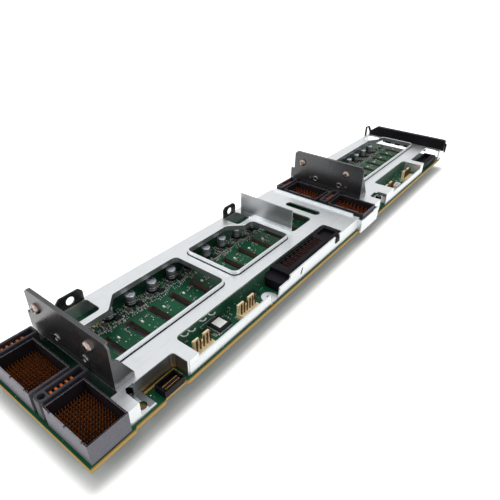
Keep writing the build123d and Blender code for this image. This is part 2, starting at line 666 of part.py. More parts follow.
def capacitor_base(x):
    """The square moulded base with two clipped corners."""
    half = CAPACITOR_BASE_SIDE / 2
    base = block(x - half, x + half, CAPACITOR_Y - half, CAPACITOR_Y + half, board_top,
                 board_top + CAPACITOR_BASE_HEIGHT)
    return chamfer(base.edges().filter_by(Axis.Z).group_by(Axis.X)[0], 1.4)


def pin_header(x, pins):
    """A wafer header: a low base and a tall rear wall with a notch, which a plug's ramp locks on."""
    y = PIN_HEADER_FRONT_Y
    z = board_top
    rear = y + PIN_HEADER_WIDTH
    length = PIN_HEADER_PITCH * pins
    base = block(x, x + length, y, rear, z, z + PIN_HEADER_BASE_HEIGHT)
    wall = block(x + 0.3, x + length - 0.3, rear - PIN_HEADER_WALL, rear, z, z + PIN_HEADER_WALL_HEIGHT)
    notch = block(x + length * 0.36, x + length * 0.64, rear - PIN_HEADER_WALL - 1, rear + 1,
                  z + PIN_HEADER_NOTCH_FLOOR, z + PIN_HEADER_WALL_HEIGHT + 1)
    return base + wall - notch


def header_contact_pins(x, pins):
    """The row of square pins of a wafer header."""
    y = PIN_HEADER_FRONT_Y + PIN_FROM_FRONT
    half = PIN_SIDE / 2
    rows = []
    for index in range(pins):
        px = x + PIN_HEADER_PITCH * (index + 0.5)
        rows.append(block(px - half, px + half, y - half, y + half, board_top + PIN_HEADER_BASE_HEIGHT,
                          board_top + PIN_HEIGHT_ABOVE_BOARD))
    return rows


def small_front_header():
    """The small open-topped header beside the third wafer header."""
    x = SOCKET_HEADER_X
    y = PIN_HEADER_FRONT_Y
    z = board_top
    shell = block(x, x + SOCKET_HEADER_LENGTH, y, y + SOCKET_HEADER_WIDTH, z, z + SOCKET_HEADER_HEIGHT)
    return shell - block(x + 0.8, x + SOCKET_HEADER_LENGTH - 0.8, y + 0.8, y + SOCKET_HEADER_WIDTH - 0.8,
                         z + 1.0, z + SOCKET_HEADER_HEIGHT + 1)


def power_cells():
    """Middle of each contact cell of the long connector."""
    return [POWER_CELL_START + POWER_CELL_PITCH * index for index in range(POWER_CELLS)]


def power_connector():
    """The long black connector in the second pocket, with a rounded nose, contact cells and a latch."""
    x = POWER_CONNECTOR_X
    y = POWER_CONNECTOR_FRONT_Y
    z = board_top
    top = z + POWER_CONNECTOR_HEIGHT
    body = block(x, POWER_CONNECTOR_FAR_X, y, y + POWER_CONNECTOR_WIDTH, z, top)
    body = fillet(body.edges().filter_by(Axis.Z).group_by(Axis.X)[0], POWER_CONNECTOR_NOSE)
    body = chamfer(body.edges().group_by(Axis.Z)[-1], 0.6)
    for place in power_cells():
        body -= block(place - POWER_CELL_WIDTH / 2, place + POWER_CELL_WIDTH / 2,
                      POWER_CELL_Y - POWER_CELL_LENGTH / 2, POWER_CELL_Y + POWER_CELL_LENGTH / 2,
                      top - POWER_CELL_DEPTH, top + 1)
    low = z + POWER_LATCH_LOW
    return body + block(POWER_LATCH[0], POWER_LATCH[1], POWER_LATCH_FRONT_Y, y, low, top - 0.8)


def power_connector_blades():
    """One blade in each cell of the long connector."""
    low = board_top + POWER_CONNECTOR_HEIGHT - POWER_CELL_DEPTH
    half = POWER_CELL_LENGTH / 2 - 0.4
    return [block(place - 0.4, place + 0.4, POWER_CELL_Y - half, POWER_CELL_Y + half, low, low + 4.4)
            for place in power_cells()]


def mezzanine_connector():
    """A low board-to-board connector: a floor, two long walls, two ends and a middle tongue."""
    x = MEZZANINE_X
    y = MEZZANINE_FRONT_Y
    z = board_top
    body = block(x, x + MEZZANINE_LENGTH, y, y + MEZZANINE_WIDTH, z, z + MEZZANINE_HEIGHT)
    body -= block(x + 1.2, x + MEZZANINE_LENGTH - 1.2, y + 0.9, y + MEZZANINE_WIDTH - 0.9,
                  z + 1.2, z + MEZZANINE_HEIGHT + 1)
    middle = MEZZANINE_TONGUE_Y
    half = MEZZANINE_TONGUE / 2
    return body + block(x + 1.6, x + MEZZANINE_LENGTH - 1.6, middle - half, middle + half, z + 1.2,
                        z + MEZZANINE_HEIGHT - 0.5)


def mezzanine_contacts():
    """Two rows of contacts on the sides of the tongue."""
    middle = MEZZANINE_TONGUE_Y
    pitch = (MEZZANINE_LENGTH - 4.0) / (MEZZANINE_CONTACTS - 1)
    contacts = []
    for index in range(MEZZANINE_CONTACTS):
        x = MEZZANINE_X + 2.0 + pitch * index
        for side in (-1, 1):
            inner = middle + side * MEZZANINE_TONGUE / 2
            outer = inner + side * 0.35
            contacts.append(block(x - 0.17, x + 0.17, min(inner, outer), max(inner, outer), board_top + 1.2,
                                  board_top + MEZZANINE_HEIGHT - 0.6))
    return contacts


def far_connector():
    """The low dark connector in the last pocket, open at its top."""
    x = board_length - FAR_CONNECTOR_SETBACK
    y = FAR_CONNECTOR_FRONT_Y
    z = board_top
    body = block(x, x + FAR_CONNECTOR_LENGTH, y, y + FAR_CONNECTOR_WIDTH, z, z + FAR_CONNECTOR_HEIGHT)
    return body - block(x + 1.6, x + FAR_CONNECTOR_LENGTH - 1.6, y + 4.4, y + FAR_CONNECTOR_WIDTH - 1.6,
                        z + 1.6, z + FAR_CONNECTOR_HEIGHT + 1)


def end_bar():
    """The moulded bar at the tray's far end, with clips through the end comb and a hook at each end."""
    x1 = board_length
    x0 = x1 - BAR_THICKNESS
    low = tray_top - BAR_BELOW_TRAY
    top = tray_top + BAR_HEIGHT
    front = BAR_FRONT_Y
    rear = BOARD_WIDTH - BAR_REAR_SETBACK
    outline = [(front, low), (rear, low), (rear, top - BAR_CORNER - 1), (rear - BAR_CORNER * 1.6, top),
               (front + 1.4, top), (front, top - 1.4)]
    bar = Pos(x0, 0, 0) * extrude(Plane.YZ * make_face(Polyline(*outline, close=True)), amount=BAR_THICKNESS)
    for y in BAR_CLIP_PLACES:
        bar += block(x0, x1 - 0.6, y + 0.4, y + BAR_CLIP_WIDTH - 0.4, tray_top - BAR_GRIP, low)
        bar += block(x0 - BAR_CLIP_REACH, x0, y + 0.4, y + BAR_CLIP_WIDTH - 0.4, tray_top - BAR_GRIP,
                     tray_top - 2.0)
    far_rear = BOARD_WIDTH + HOOK_REACH
    far_front = -HOOK_REACH
    bar += hook(x0, [(rear - 1, top - BAR_CORNER - 1.4), (rear + 1.6, top - 1), (far_rear, top - 2.6),
                     (far_rear, tray_top - 3.4)])
    bar += hook(x0, [(far_front, tray_top - 2.4), (far_front, tray_top + 6.5), (front + 1, tray_top + 6.5)])
    return bar


def hook(x, path):
    """A thin springy arm that follows the path, at one end of the bar; the path is its outer side."""
    outer = FilletPolyline(*path, radius=HOOK_BEND)
    ribbon = make_face(offset(outer, amount=HOOK_SHEET, side=Side.RIGHT))
    return Pos(x, 0, 0) * extrude(Plane.YZ * ribbon, amount=HOOK_WIDTH)


def controller_chip():
    """The square chip in the second pocket."""
    chip = block(CHIP_X, CHIP_X + CHIP_SIDE, CHIP_Y, CHIP_Y + CHIP_SIDE, board_top, board_top + CHIP_HEIGHT)
    return chamfer(chip.edges().group_by(Axis.Z)[-1], 0.3)


def small_chips():
    """Small chips in the front pockets: place and size of each."""
    chips = []
    for x, y, length, width in SMALL_CHIPS:
        chip = block(x, x + length, y, y + width, board_top, board_top + 1.1)
        chips.append(chamfer(chip.edges().group_by(Axis.Z)[-1], 0.2))
    return chips


def header_places():
    """Name, X and Y of each signal header; each has a power module behind it."""
    places = []
    for pair, x in (("near", NEAR_PAIR_X), ("mid", MID_PAIR_X)):
        for index, side in enumerate(("front", "rear")):
            places.append((pair + "_" + side, x, HEADER_PITCH * index))
    return places


def build_nodes():
    """Every named node with its solids."""
    nodes = {
        "circuit_board": circuit_board(),
        "stiffener_tray": stiffener_tray(),
        "first_pocket_wall": first_pocket_wall(),
        "chassis_foot": chassis_foot(),
        "tray_ears": [ear_tab(x, width) for x, width in EARS],
        "near_bracket": bracket(near_bracket_x),
        "mid_bracket": bracket(mid_bracket_x),
        "power_connector": power_connector(),
        "power_connector_blades": power_connector_blades(),
        "small_front_header": small_front_header(),
        "mezzanine_connector": mezzanine_connector(),
        "mezzanine_contacts": mezzanine_contacts(),
        "far_connector": far_connector(),
        "end_bar": end_bar(),
        "controller_chip": controller_chip(),
        "small_chips": small_chips(),
        "tray_screws": [tray_screw(x, y) for x, y in TRAY_SCREWS],
        "capacitor_cans": [capacitor_can(x) for x in capacitor_places()],
        "capacitor_bases": [capacitor_base(x) for x in capacitor_places()],
    }
    bracket_spots = (near_bracket_x, mid_bracket_x)
    nodes["bracket_screws"] = [bracket_screw(x, y) for x in bracket_spots for y in BRACKET_SCREW_Y]
    nodes["bracket_rivets"] = [bracket_rivet(x, y) for x in bracket_spots for y in BRACKET_RIVET_Y]
    contacts = []
    pin_fields = []
    for name, x, shift in header_places():
        nodes[name + "_signal_header"] = signal_header(x, HEADER_FRONT_Y + shift)
        pin_fields.append(header_pins(x, HEADER_FRONT_Y + shift))
        nodes[name + "_power_module"] = power_module(x, MODULE_FRONT_Y + shift)
        contacts += power_contacts(x, MODULE_FRONT_Y + shift)
    nodes["header_pins"] = pin_fields
    nodes["power_module_contacts"] = contacts
    pins = []
    for name, (x, count) in FRONT_HEADERS.items():
        nodes[name] = pin_header(x, count)
        pins += header_contact_pins(x, count)
    nodes["front_header_pins"] = pins
    for index, x in enumerate(drive_places(), start=1):
        nodes[f"drive_receptacle_{index:02d}"] = drive_receptacle(x)
    return nodes


def write_nodes(nodes):
    """Moves the assembly to its origin and writes one file for each node."""
    os.makedirs("parts", exist_ok=True)
    home = Pos(-board_length / 2, -BOARD_WIDTH / 2, 0)
    for name, shape in nodes.items():
        pieces = shape if isinstance(shape, list) else [shape]
        moved = [home * solid for piece in pieces for solid in piece.solids()]
        export_step(Compound(moved) if len(moved) > 1 else moved[0], "parts/" + name + ".step")


write_nodes(build_nodes())
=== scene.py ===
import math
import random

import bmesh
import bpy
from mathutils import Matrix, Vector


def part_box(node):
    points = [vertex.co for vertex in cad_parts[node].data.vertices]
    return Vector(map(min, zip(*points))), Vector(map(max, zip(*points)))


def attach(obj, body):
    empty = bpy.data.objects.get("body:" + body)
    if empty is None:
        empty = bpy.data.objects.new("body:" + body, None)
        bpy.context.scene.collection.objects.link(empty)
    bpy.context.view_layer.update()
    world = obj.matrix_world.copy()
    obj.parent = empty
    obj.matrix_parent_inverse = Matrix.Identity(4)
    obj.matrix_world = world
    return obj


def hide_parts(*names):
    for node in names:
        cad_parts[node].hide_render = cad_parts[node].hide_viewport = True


bl_info = {
    "name": "Drive backplane board",
    "version": (1, 0, 0),
    "blender": (4, 5, 0),
    "location": "3D View > Sidebar > Backplane",
    "description": "Finishes and small parts for a drive backplane board, with a plain studio round it",
    "category": "Object",
}

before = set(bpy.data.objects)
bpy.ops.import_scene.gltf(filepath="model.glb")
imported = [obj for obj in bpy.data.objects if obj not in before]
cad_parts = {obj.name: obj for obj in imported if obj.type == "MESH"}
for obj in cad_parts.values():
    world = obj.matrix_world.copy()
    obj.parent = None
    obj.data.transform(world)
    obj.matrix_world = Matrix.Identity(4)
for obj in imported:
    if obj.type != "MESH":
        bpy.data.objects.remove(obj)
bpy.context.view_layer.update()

MM = 0.001
BOARD_LOW, BOARD_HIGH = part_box("circuit_board")
CORNER = (BOARD_LOW.x, BOARD_LOW.y, BOARD_HIGH.z)

# Sizes and places are in mm: x and y from the board's near front corner, z from its top face.
TRAY_TOP = 10.0
RIM_TOP = 12.6
SHEET = 1.0
DRIVE_PITCH = 16.4
FIRST_SLOT = 49.0
FIRST_DRIVE = 40.8
DRIVES = 24
HIDDEN_DRIVES = (13, 14)
SLOT_HALF = 2.5
SLOT_Y = (27.7, 56.3)
PAIRS = (1.3, 246.6)
HEADER_DEPTH = 20.4
SHOWN_WALL = 0.8
HEADER_FLOOR = 2.0
PIN_FOOT = 3.2
MID_PIN_EXTRA = 1.8
MID_PITCH = 1.6
PIN_MARGIN = 1.6
BRACKET_FACES = tuple(x + HEADER_DEPTH + 5.0 for x in PAIRS)
SCREW_Y = (30.0, 71.0)
SCREW_Z = TRAY_TOP + 18.0
RIVET_Y = (35.2, 57.4)
RIVET_Z = TRAY_TOP + 6.8
CELLS = 9
CELL_PITCH = 4.75
FIRST_CELL = 157.6
CELL_Y = 12.1
CAN_RADIUS = 3.15
CAN_TOP = 7.62
INK_TOP = 0.03
PART_GAP = 1.5
CHIP_LEADS_PER_SIDE = 12
LEAD_OUT = 0.35
CLEARANCE = 0.8
CAN_ROOM = 3.6
PRINT_LINE = 0.18
FINE_PRINT_LINE = 0.16
HEADER_PRINT_GAP = 0.7
WINDOW_CORNER = 3.5
WINDOWS = (
    ((34.0, 28.3), (116.8, 28.3), (116.8, 69.0), (67.5, 69.0), (57.5, 59.5), (34.0, 59.5)),
    ((127.0, 28.3), (185.0, 28.3), (185.0, 59.5), (176.0, 59.5), (167.0, 69.0), (127.0, 69.0)),
    ((292.0, 29.3), (427.0, 29.3), (427.0, 62.5), (416.5, 62.5), (406.5, 69.0), (292.0, 69.0)),
)
# Small parts by each slot: x from its middle, y, kind and turn in degrees.
SLOT_PARTS = ((-1.4, 62.2, "chips", 0), (6.9, 63.6, "coils", 0), (5.5, 50.0, "lamps", 90))
# Where small parts lie by each drive: how many, then x from and to its middle, y from and to.
DRIVE_ZONES = ((26, -8, 8, 57.2, 70.0), (4, -5, 5, 47.5, 52.5), (3, -5, 5, 29.0, 42.0))
# Where small parts lie away from the drives: how many, then x from and to, y from and to.
PART_ZONES = (
    (46, 67.0, 140.0, 3.8, 21.0), (10, 200.0, 217.0, 18.4, 22.0), (16, 283.5, 295.5, 4.0, 13.0),
    (36, 311.5, 377.5, 3.6, 21.5), (10, 386.5, 430.0, 15.4, 17.5), (22, 22.0, 26.0, 2.0, 82.0),
    (16, 194.0, 219.0, 57.5, 75.0),
)
TURN_ERROR = 2.0
TURN_SEED = 7
PART_SEED = 41
PAD_SEED = 5
TRIES_PER_PART = 12
GOLD_STRIPS = (
    (38.0, 57.6, 10.7, 11.9), (56.4, 57.6, 5.4, 10.7), (127.2, 129.2, 1.4, 2.0), (51.2, 56.4, 66.9, 68.2),
)
LONE_PADS = ((39.2, 8.2, 0.0), (24.4, 8.0, 0.0), (24.4, 60.0, 0.0))
PRINTED_ARCS = ((78.5, 25.0), (83.7, 24.6), (93.6, 25.6), (100.7, 25.0))
# Printed outlines: x, y, length and width; those by a slot have their x from its middle.
SLOT_OUTLINES = ((-3.7, 60.2, 4.7, 4.0), (5.0, 61.8, 3.8, 3.8))
CONTROLLER_OUTLINE = (87.4, 10.0, 11.8, 11.8)
# Stretches of the board and the tray where shade is painted: x from and to, y from and to.
SLOT_SHADE_ZONE = (30, 436, 20, 64)
HEADER_SHADE_ZONE = (20, 31, 2, 83)
FIRST_POCKET_SHADE = (34, 63, 3, 16)
REAR_RIM_SHADE = (50, 76)
SIGNAL_HEADERS = ("near_front", "near_rear", "mid_front", "mid_rear")
WAFER_HEADERS = ("first_front_header", "second_front_header", "third_front_header", "fourth_front_header")

# The studio: lengths in metres, power in watts.
SHADOW_REACH = 0.008
FLOOR_GLOW = (0.66, 0.66, 0.66, 1.0)
SKY_TONE = (0.96, 0.98, 1.0, 1.0)
SKY_STRENGTH = 0.42
WHITE = (1.0, 1.0, 1.0, 1.0)
# Each lamp: its place, the point that it faces, its side, its power and whether metal mirrors it.
LAMPS = {
    "overhead_lamp": ((0.1, 0.5, 1.5), (0.0, 0.0, 0.0), 1.8, 14.0, False),
    "side_lamp": ((-1.4, 0.9, 0.9), (-0.1, 0.0, 0.0), 1.0, 5.0, True),
    "front_lamp": ((0.2, -1.6, 0.9), (0.0, 0.0, 0.0), 1.2, 7.0, True),
}
# The camera: its place in mm from the board's corner, its yaw, pitch and roll in degrees, its lens in mm.
CAMERA_PLACE = (-44.4, -110.1, 169.0)
CAMERA_ANGLES = (53.299, 32.52, 1.034)
CAMERA_LENS = 32.085
CAMERA_SENSOR = 36.0


def place(x, y, z):
    """A point given in mm from the board's near front corner, with z up from its top face."""
    return Vector((CORNER[0] + x * MM, CORNER[1] + y * MM, CORNER[2] + z * MM))


def extent(name):
    """A node's box in mm: x from and to, y from and to, z from and to."""
    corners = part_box(name)
    return [(corner[axis] - CORNER[axis]) / MM for axis in range(3) for corner in corners]


def tone(red, green, blue):
    """A linear colour from the 0 to 255 values that a screen shows."""
    def linear(value):
        share = value / 255
        return share / 12.92 if share <= 0.04045 else ((share + 0.055) / 1.055) ** 2.4
    return (linear(red), linear(green), linear(blue), 1.0)


def dimmed(colour, share):
    """A colour made darker or lighter by a share."""
    return tuple(min(1.0, channel * share) for channel in colour[:3]) + (1.0,)


def swatch(label, text, red, green, blue):
    """A colour that the sidebar can change."""
    return bpy.props.FloatVectorProperty(name=label, description=text, subtype="COLOR", size=4, min=0.0,
                                         max=1.0, default=tone(red, green, blue))


def measure(label, text, value):
    """A length that the sidebar can change, given here in mm."""
    return bpy.props.FloatProperty(name=label, description=text, default=value * MM, min=0.0, unit="LENGTH",
                                   subtype="DISTANCE")


class BackplaneSizes(bpy.types.PropertyGroup):
    pin_pitch_x: measure("Pin pitch along", "Spacing of the header pins along the board", 1.5)
    pin_pitch_y: measure("Pin pitch across", "Spacing of the header pins across the board", 2.0)
    pin_side: measure("Pin side", "Width of one square header pin", 0.56)
    pin_height: measure("Pin height", "Height of the header pins over the board", 6.4)
    crease: measure("Bend radius", "Radius of the bend at the foot of each window rim", 0.65)
    part_height: measure("Chip height", "Height of the smallest soldered parts", 0.55)


class BackplaneColours(bpy.types.PropertyGroup):
    mask_green: swatch("Solder mask", "Green of the board's faces", 10, 80, 52)
    laminate: swatch("Laminate", "Tan of the board's cut edge", 203, 168, 104)
    zinc: swatch("Zinc plate", "Colour of the stiffener tray", 226, 229, 231)
    bracket: swatch("Bracket steel", "Colour of the two upright brackets", 122, 122, 124)
    header_grey: swatch("Header plastic", "Grey of the near signal headers", 110, 108, 118)
    contact: swatch("Power contact", "Orange copper of the power contacts", 236, 122, 34)
    cream: swatch("Cream plastic", "Cream of the wafer headers", 246, 228, 184)


def add_node(tree, kind, inputs=None, **settings):
    """A node with its settings; each input takes a value or another node's output."""
    made = tree.nodes.new(kind)
    for key, value in settings.items():
        setattr(made, key, value)
    for key, value in (inputs or {}).items():
        if isinstance(value, bpy.types.NodeSocket):
            tree.links.new(value, made.inputs[key])
        else:
            made.inputs[key].default_value = value
    return made


def math_node(tree, operation, first, second=0.0):
    """The value of one sum."""
    return add_node(tree, "ShaderNodeMath", {0: first, 1: second}, operation=operation).outputs[0]


def product(tree, first, *others):
    """Values multiplied with each other."""
    for other in others:
        first = math_node(tree, "MULTIPLY", first, other)
    return first


def axes_of(tree, kind="ShaderNodeTexCoord", output="Object"):
    """The x, y and z of the point on the object, or of another node's vector."""
    return add_node(tree, "ShaderNodeSeparateXYZ", {0: add_node(tree, kind).outputs[output]}).outputs


def inside_span(tree, value, low, high):
    """1 where the value lies between two numbers."""
    above = math_node(tree, "GREATER_THAN", value, low)
    return product(tree, above, math_node(tree, "LESS_THAN", value, high))


def board_span(tree, axes, axis, low, high):
    """1 between two places in mm along, across or up from the board."""
    return inside_span(tree, axes[axis], CORNER[axis] + low * MM, CORNER[axis] + high * MM)


def board_zone(tree, axes, x0, x1, y0, y1):
    """1 in a rectangle given in mm along and across the board."""
    return product(tree, board_span(tree, axes, 0, x0, x1), board_span(tree, axes, 1, y0, y1))


def layered(tree, height, low, high, stops):
    """A colour that changes in layers between two heights."""
    share = add_node(tree, "ShaderNodeMapRange", {0: height, 1: low, 2: high}).outputs[0]
    made = add_node(tree, "ShaderNodeValToRGB", {0: share})
    elements = made.color_ramp.elements
    while len(elements) < len(stops):
        elements.new(0.5)
    for element, (at, colour) in zip(elements, stops):
        element.position = at
        element.color = colour
    return made.outputs[0]


def start_group(name, inputs, outputs):
    """A shader node group with named sockets: its tree, its input node and its output node."""
    tree = bpy.data.node_groups.new(name, "ShaderNodeTree")
    for label, kind, value in inputs:
        socket = tree.interface.new_socket(name=label, in_out="INPUT", socket_type=kind)
        socket.default_value = value
    for label, kind in outputs:
        tree.interface.new_socket(name=label, in_out="OUTPUT", socket_type=kind)
    return tree, tree.nodes.new("NodeGroupInput"), tree.nodes.new("NodeGroupOutput")


def make_grain_group():
    """Noise on object coordinates, stretched as asked: a contrasty mask and a soft height."""
    tree, given, out = start_group(
        "Grain", [("Scale", "NodeSocketFloat", 400.0), ("Stretch", "NodeSocketVector", (1.0, 1.0, 1.0)),
                  ("Detail", "NodeSocketFloat", 3.0), ("Low", "NodeSocketFloat", 0.35),
                  ("High", "NodeSocketFloat", 0.65)],
        [("Mask", "NodeSocketFloat"), ("Height", "NodeSocketFloat")])
    where = add_node(tree, "ShaderNodeTexCoord").outputs["Object"]
    stretched = add_node(tree, "ShaderNodeVectorMath", {0: where, 1: given.outputs["Stretch"]},
                         operation="MULTIPLY").outputs[0]
    noise = add_node(tree, "ShaderNodeTexNoise", {"Vector": stretched, "Scale": given.outputs["Scale"],
                                                  "Detail": given.outputs["Detail"]}).outputs["Fac"]
    mask = add_node(tree, "ShaderNodeMapRange", {0: noise, 1: given.outputs["Low"], 2: given.outputs["High"]})
    tree.links.new(mask.outputs[0], out.inputs["Mask"])
    tree.links.new(noise, out.inputs["Height"])
    return tree


def make_blend_group():
    """Two colours mixed by a mask."""
    grey = (0.5, 0.5, 0.5, 1.0)
    tree, given, out = start_group(
        "Two tones", [("Mask", "NodeSocketFloat", 0.5), ("First", "NodeSocketColor", grey),
                      ("Second", "NodeSocketColor", grey)], [("Colour", "NodeSocketColor")])
    mix = add_node(tree, "ShaderNodeMix", {0: given.outputs["Mask"], 6: given.outputs["First"],
                                           7: given.outputs["Second"]}, data_type="RGBA")
    tree.links.new(mix.outputs[2], out.inputs["Colour"])
    return tree


def make_traces_group():
    """Copper under the solder mask: bundles of fine lines that turn from patch to patch, and dotted vias."""
    tree, given, out = start_group(
        "Copper traces", [("Line pitch", "NodeSocketFloat", 0.0011), ("Patch", "NodeSocketFloat", 90.0),
                          ("Via spacing", "NodeSocketFloat", 0.0023)],
        [("Line", "NodeSocketFloat"), ("Via", "NodeSocketFloat"), ("Height", "NodeSocketFloat")])
    axes = axes_of(tree)
    flat = add_node(tree, "ShaderNodeCombineXYZ", {0: axes[0], 1: axes[1]}).outputs[0]
    patch = add_node(tree, "ShaderNodeTexVoronoi", {"Vector": flat, "Scale": given.outputs["Patch"]},
                     distance="CHEBYCHEV").outputs["Color"]
    pick = add_node(tree, "ShaderNodeSeparateColor", {0: patch}).outputs
    lines = []
    for axis in (0, 1):
        part = math_node(tree, "FRACT", math_node(tree, "DIVIDE", axes[axis], given.outputs["Line pitch"]))
        lines.append(math_node(tree, "LESS_THAN", part, 0.42))
    along = math_node(tree, "GREATER_THAN", pick[0], 0.35)
    across = math_node(tree, "SUBTRACT", 1.0, along)
    both = math_node(tree, "ADD", product(tree, lines[1], along), product(tree, lines[0], across))
    line = product(tree, both, math_node(tree, "GREATER_THAN", pick[1], 0.3))
    per_metre = math_node(tree, "DIVIDE", 1.0, given.outputs["Via spacing"])
    dots = add_node(tree, "ShaderNodeTexVoronoi", {"Vector": flat, "Scale": per_metre}).outputs["Distance"]
    busy = math_node(tree, "GREATER_THAN", pick[2], 0.45)
    via = product(tree, math_node(tree, "LESS_THAN", dots, 0.12), busy)
    tree.links.new(line, out.inputs["Line"])
    tree.links.new(via, out.inputs["Via"])
    tree.links.new(math_node(tree, "ADD", line, via), out.inputs["Height"])
    return tree


GROUPS = {}
GROUP_MAKERS = {"Grain": make_grain_group, "Two tones": make_blend_group, "Copper traces": make_traces_group}


def grouped(tree, name, **values):
    """One of the shared groups placed in a material; a value may be another node's output."""
    if name not in GROUPS:
        GROUPS[name] = GROUP_MAKERS[name]()
    return add_node(tree, "ShaderNodeGroup", values, node_tree=GROUPS[name]).outputs


def blended(tree, mask, first, second):
    """The colour of two tones mixed by a mask."""
    return grouped(tree, "Two tones", Mask=mask, First=first, Second=second)["Colour"]


def empty_material(name):
    """A material with only its output node and a Principled BSDF."""
    material = bpy.data.materials.new(name)
    material.use_nodes = True
    tree = material.node_tree
    tree.nodes.clear()
    shader = tree.nodes.new("ShaderNodeBsdfPrincipled")
    out = tree.nodes.new("ShaderNodeOutputMaterial")
    tree.links.new(shader.outputs[0], out.inputs[0])
    return material, tree, shader


def shade(shader, **values):
    """Sets plain values on the shader's own sockets."""
    for key, value in values.items():
        shader.inputs[key.replace("_", " ")].default_value = value


def surfaced(tree, shader, colour, mask, roughness, height, distance, strength=0.6):
    """Links a colour, a roughness that follows a mask, and a bump from a height."""
    tree.links.new(colour, shader.inputs["Base Color"])
    spread = add_node(tree, "ShaderNodeMapRange", {0: mask, 3: roughness[0], 4: roughness[1]})
    tree.links.new(spread.outputs[0], shader.inputs["Roughness"])
    bump = add_node(tree, "ShaderNodeBump", {"Height": height, "Strength": strength, "Distance": distance})
    tree.links.new(bump.outputs[0], shader.inputs["Normal"])


def plain_finish(name, first, second, roughness, metallic=0.0, specular=0.5, scale=700.0):
    """A finish of two close tones with grain, roughness that varies and a fine bump."""
    material, tree, shader = empty_material(name)
    grain = grouped(tree, "Grain", Scale=scale)
    surfaced(tree, shader, blended(tree, grain["Mask"], first, second), grain["Mask"], roughness,
             grain["Height"], 0.00001)
    shade(shader, Metallic=metallic, Specular_IOR_Level=specular)
    return material


def board_finish(colours):
    """Green solder mask with traces on the faces and painted shade by the near headers; layered laminate on
    the cut edges, with painted shade on the walls of the slots.
    """
    material, tree, shader = empty_material("board_solder_mask")
    traces = grouped(tree, "Copper traces")
    cloud = grouped(tree, "Grain", Scale=60.0, Detail=2.0)["Mask"]
    green = tuple(colours.mask_green)
    base = blended(tree, cloud, dimmed(green, 0.5), green)
    face = blended(tree, product(tree, traces["Line"], 0.34), base, dimmed(green, 1.45))
    face = blended(tree, traces["Via"], face, tone(150, 176, 120))
    axes = axes_of(tree)
    tan = tuple(colours.laminate)
    edge = layered(tree, axes[2], BOARD_LOW.z, BOARD_HIGH.z, (
        (0.0, tone(120, 92, 40)), (0.08, tan), (0.62, tan), (0.72, tone(138, 84, 30)),
        (0.84, tone(186, 140, 74)), (0.93, tone(60, 96, 56))))
    # Painted shade: the laminate of the slot walls is drawn darker, as they lie in shade.
    slot_shade = board_zone(tree, axes, *SLOT_SHADE_ZONE)
    fibre = grouped(tree, "Grain", Scale=900.0, Stretch=(1.0, 1.0, 4.0))["Mask"]
    slot_wall_shade = blended(tree, fibre, tone(104, 82, 70), tone(70, 54, 46))
    side = blended(tree, slot_shade, edge, slot_wall_shade)
    normal = axes_of(tree, "ShaderNodeNewGeometry", "Normal")
    upright = math_node(tree, "LESS_THAN", math_node(tree, "ABSOLUTE", normal[2]), 0.5)
    colour = blended(tree, upright, face, side)
    # Painted shade on the board between the near headers and the bracket, where shade falls.
    header_shade = product(tree, board_zone(tree, axes, *HEADER_SHADE_ZONE), 0.65)
    colour = blended(tree, header_shade, colour, tone(16, 20, 18))
    surfaced(tree, shader, colour, upright, (0.34, 0.8), traces["Height"], 0.00004)
    shade(shader, Specular_IOR_Level=0.15)
    return material


def painted_shade_faces(tree):
    """Where shade is painted on the sheet: its baffle, its first pocket's walls and its rims' inner sides,
    darkened as shade and as a painted reflection of the dark board.
    """
    axes = axes_of(tree)
    normal = axes_of(tree, "ShaderNodeNewGeometry", "Normal")
    above_rims = place(0, 0, RIM_TOP + 0.8).z
    baffle = product(tree, math_node(tree, "GREATER_THAN", axes[2], above_rims), 0.72)
    under_tray = math_node(tree, "LESS_THAN", axes[2], place(0, 0, TRAY_TOP - 0.6).z)
    pocket = product(tree, board_zone(tree, axes, *FIRST_POCKET_SHADE), under_tray)
    rear = product(tree, math_node(tree, "LESS_THAN", normal[1], -0.3), board_span(tree, axes, 1, *REAR_RIM_SHADE))
    far = 0.0
    for corners in WINDOWS:
        end = max(corner[0] for corner in corners)
        far = math_node(tree, "MAXIMUM", far, board_span(tree, axes, 0, end - 4, end + 0.4))
    far = product(tree, far, math_node(tree, "LESS_THAN", normal[0], -0.3))
    rims = product(tree, math_node(tree, "MAXIMUM", rear, far),
                   board_span(tree, axes, 2, TRAY_TOP - 1.2, RIM_TOP - 0.2), 0.8)
    return math_node(tree, "MAXIMUM", math_node(tree, "MAXIMUM", baffle, pocket), rims)


def zinc_finish(name, colour, roughness, spangle):
    """Zinc-plated sheet: pale spangle, rolling streaks and fine scratches, with painted shade on some faces.
    """
    material, tree, shader = empty_material(name)
    cloud = grouped(tree, "Grain", Scale=160.0, Detail=5.0, Low=0.3, High=0.7)
    streak = grouped(tree, "Grain", Scale=500.0, Stretch=(0.06, 1.0, 1.0), Detail=2.0)
    scratch = grouped(tree, "Grain", Scale=1500.0, Stretch=(0.02, 1.0, 1.0), Detail=1.0, Low=0.68, High=0.72)
    base = blended(tree, cloud["Mask"], dimmed(colour, spangle), colour)
    base = blended(tree, product(tree, scratch["Mask"], 0.25), base, tone(150, 150, 152))
    # Painted shade and painted reflection of the dark board on the baffle, the first pocket's walls and the
    # rims' inner sides.
    base = blended(tree, painted_shade_faces(tree), base, dimmed(colour, 0.3))
    both = product(tree, math_node(tree, "ADD", cloud["Mask"], streak["Mask"]), 0.5)
    height = math_node(tree, "ADD", cloud["Height"], streak["Height"])
    surfaced(tree, shader, base, both, roughness, height, 0.000003, 0.3)
    shade(shader, Metallic=0.88)
    return material


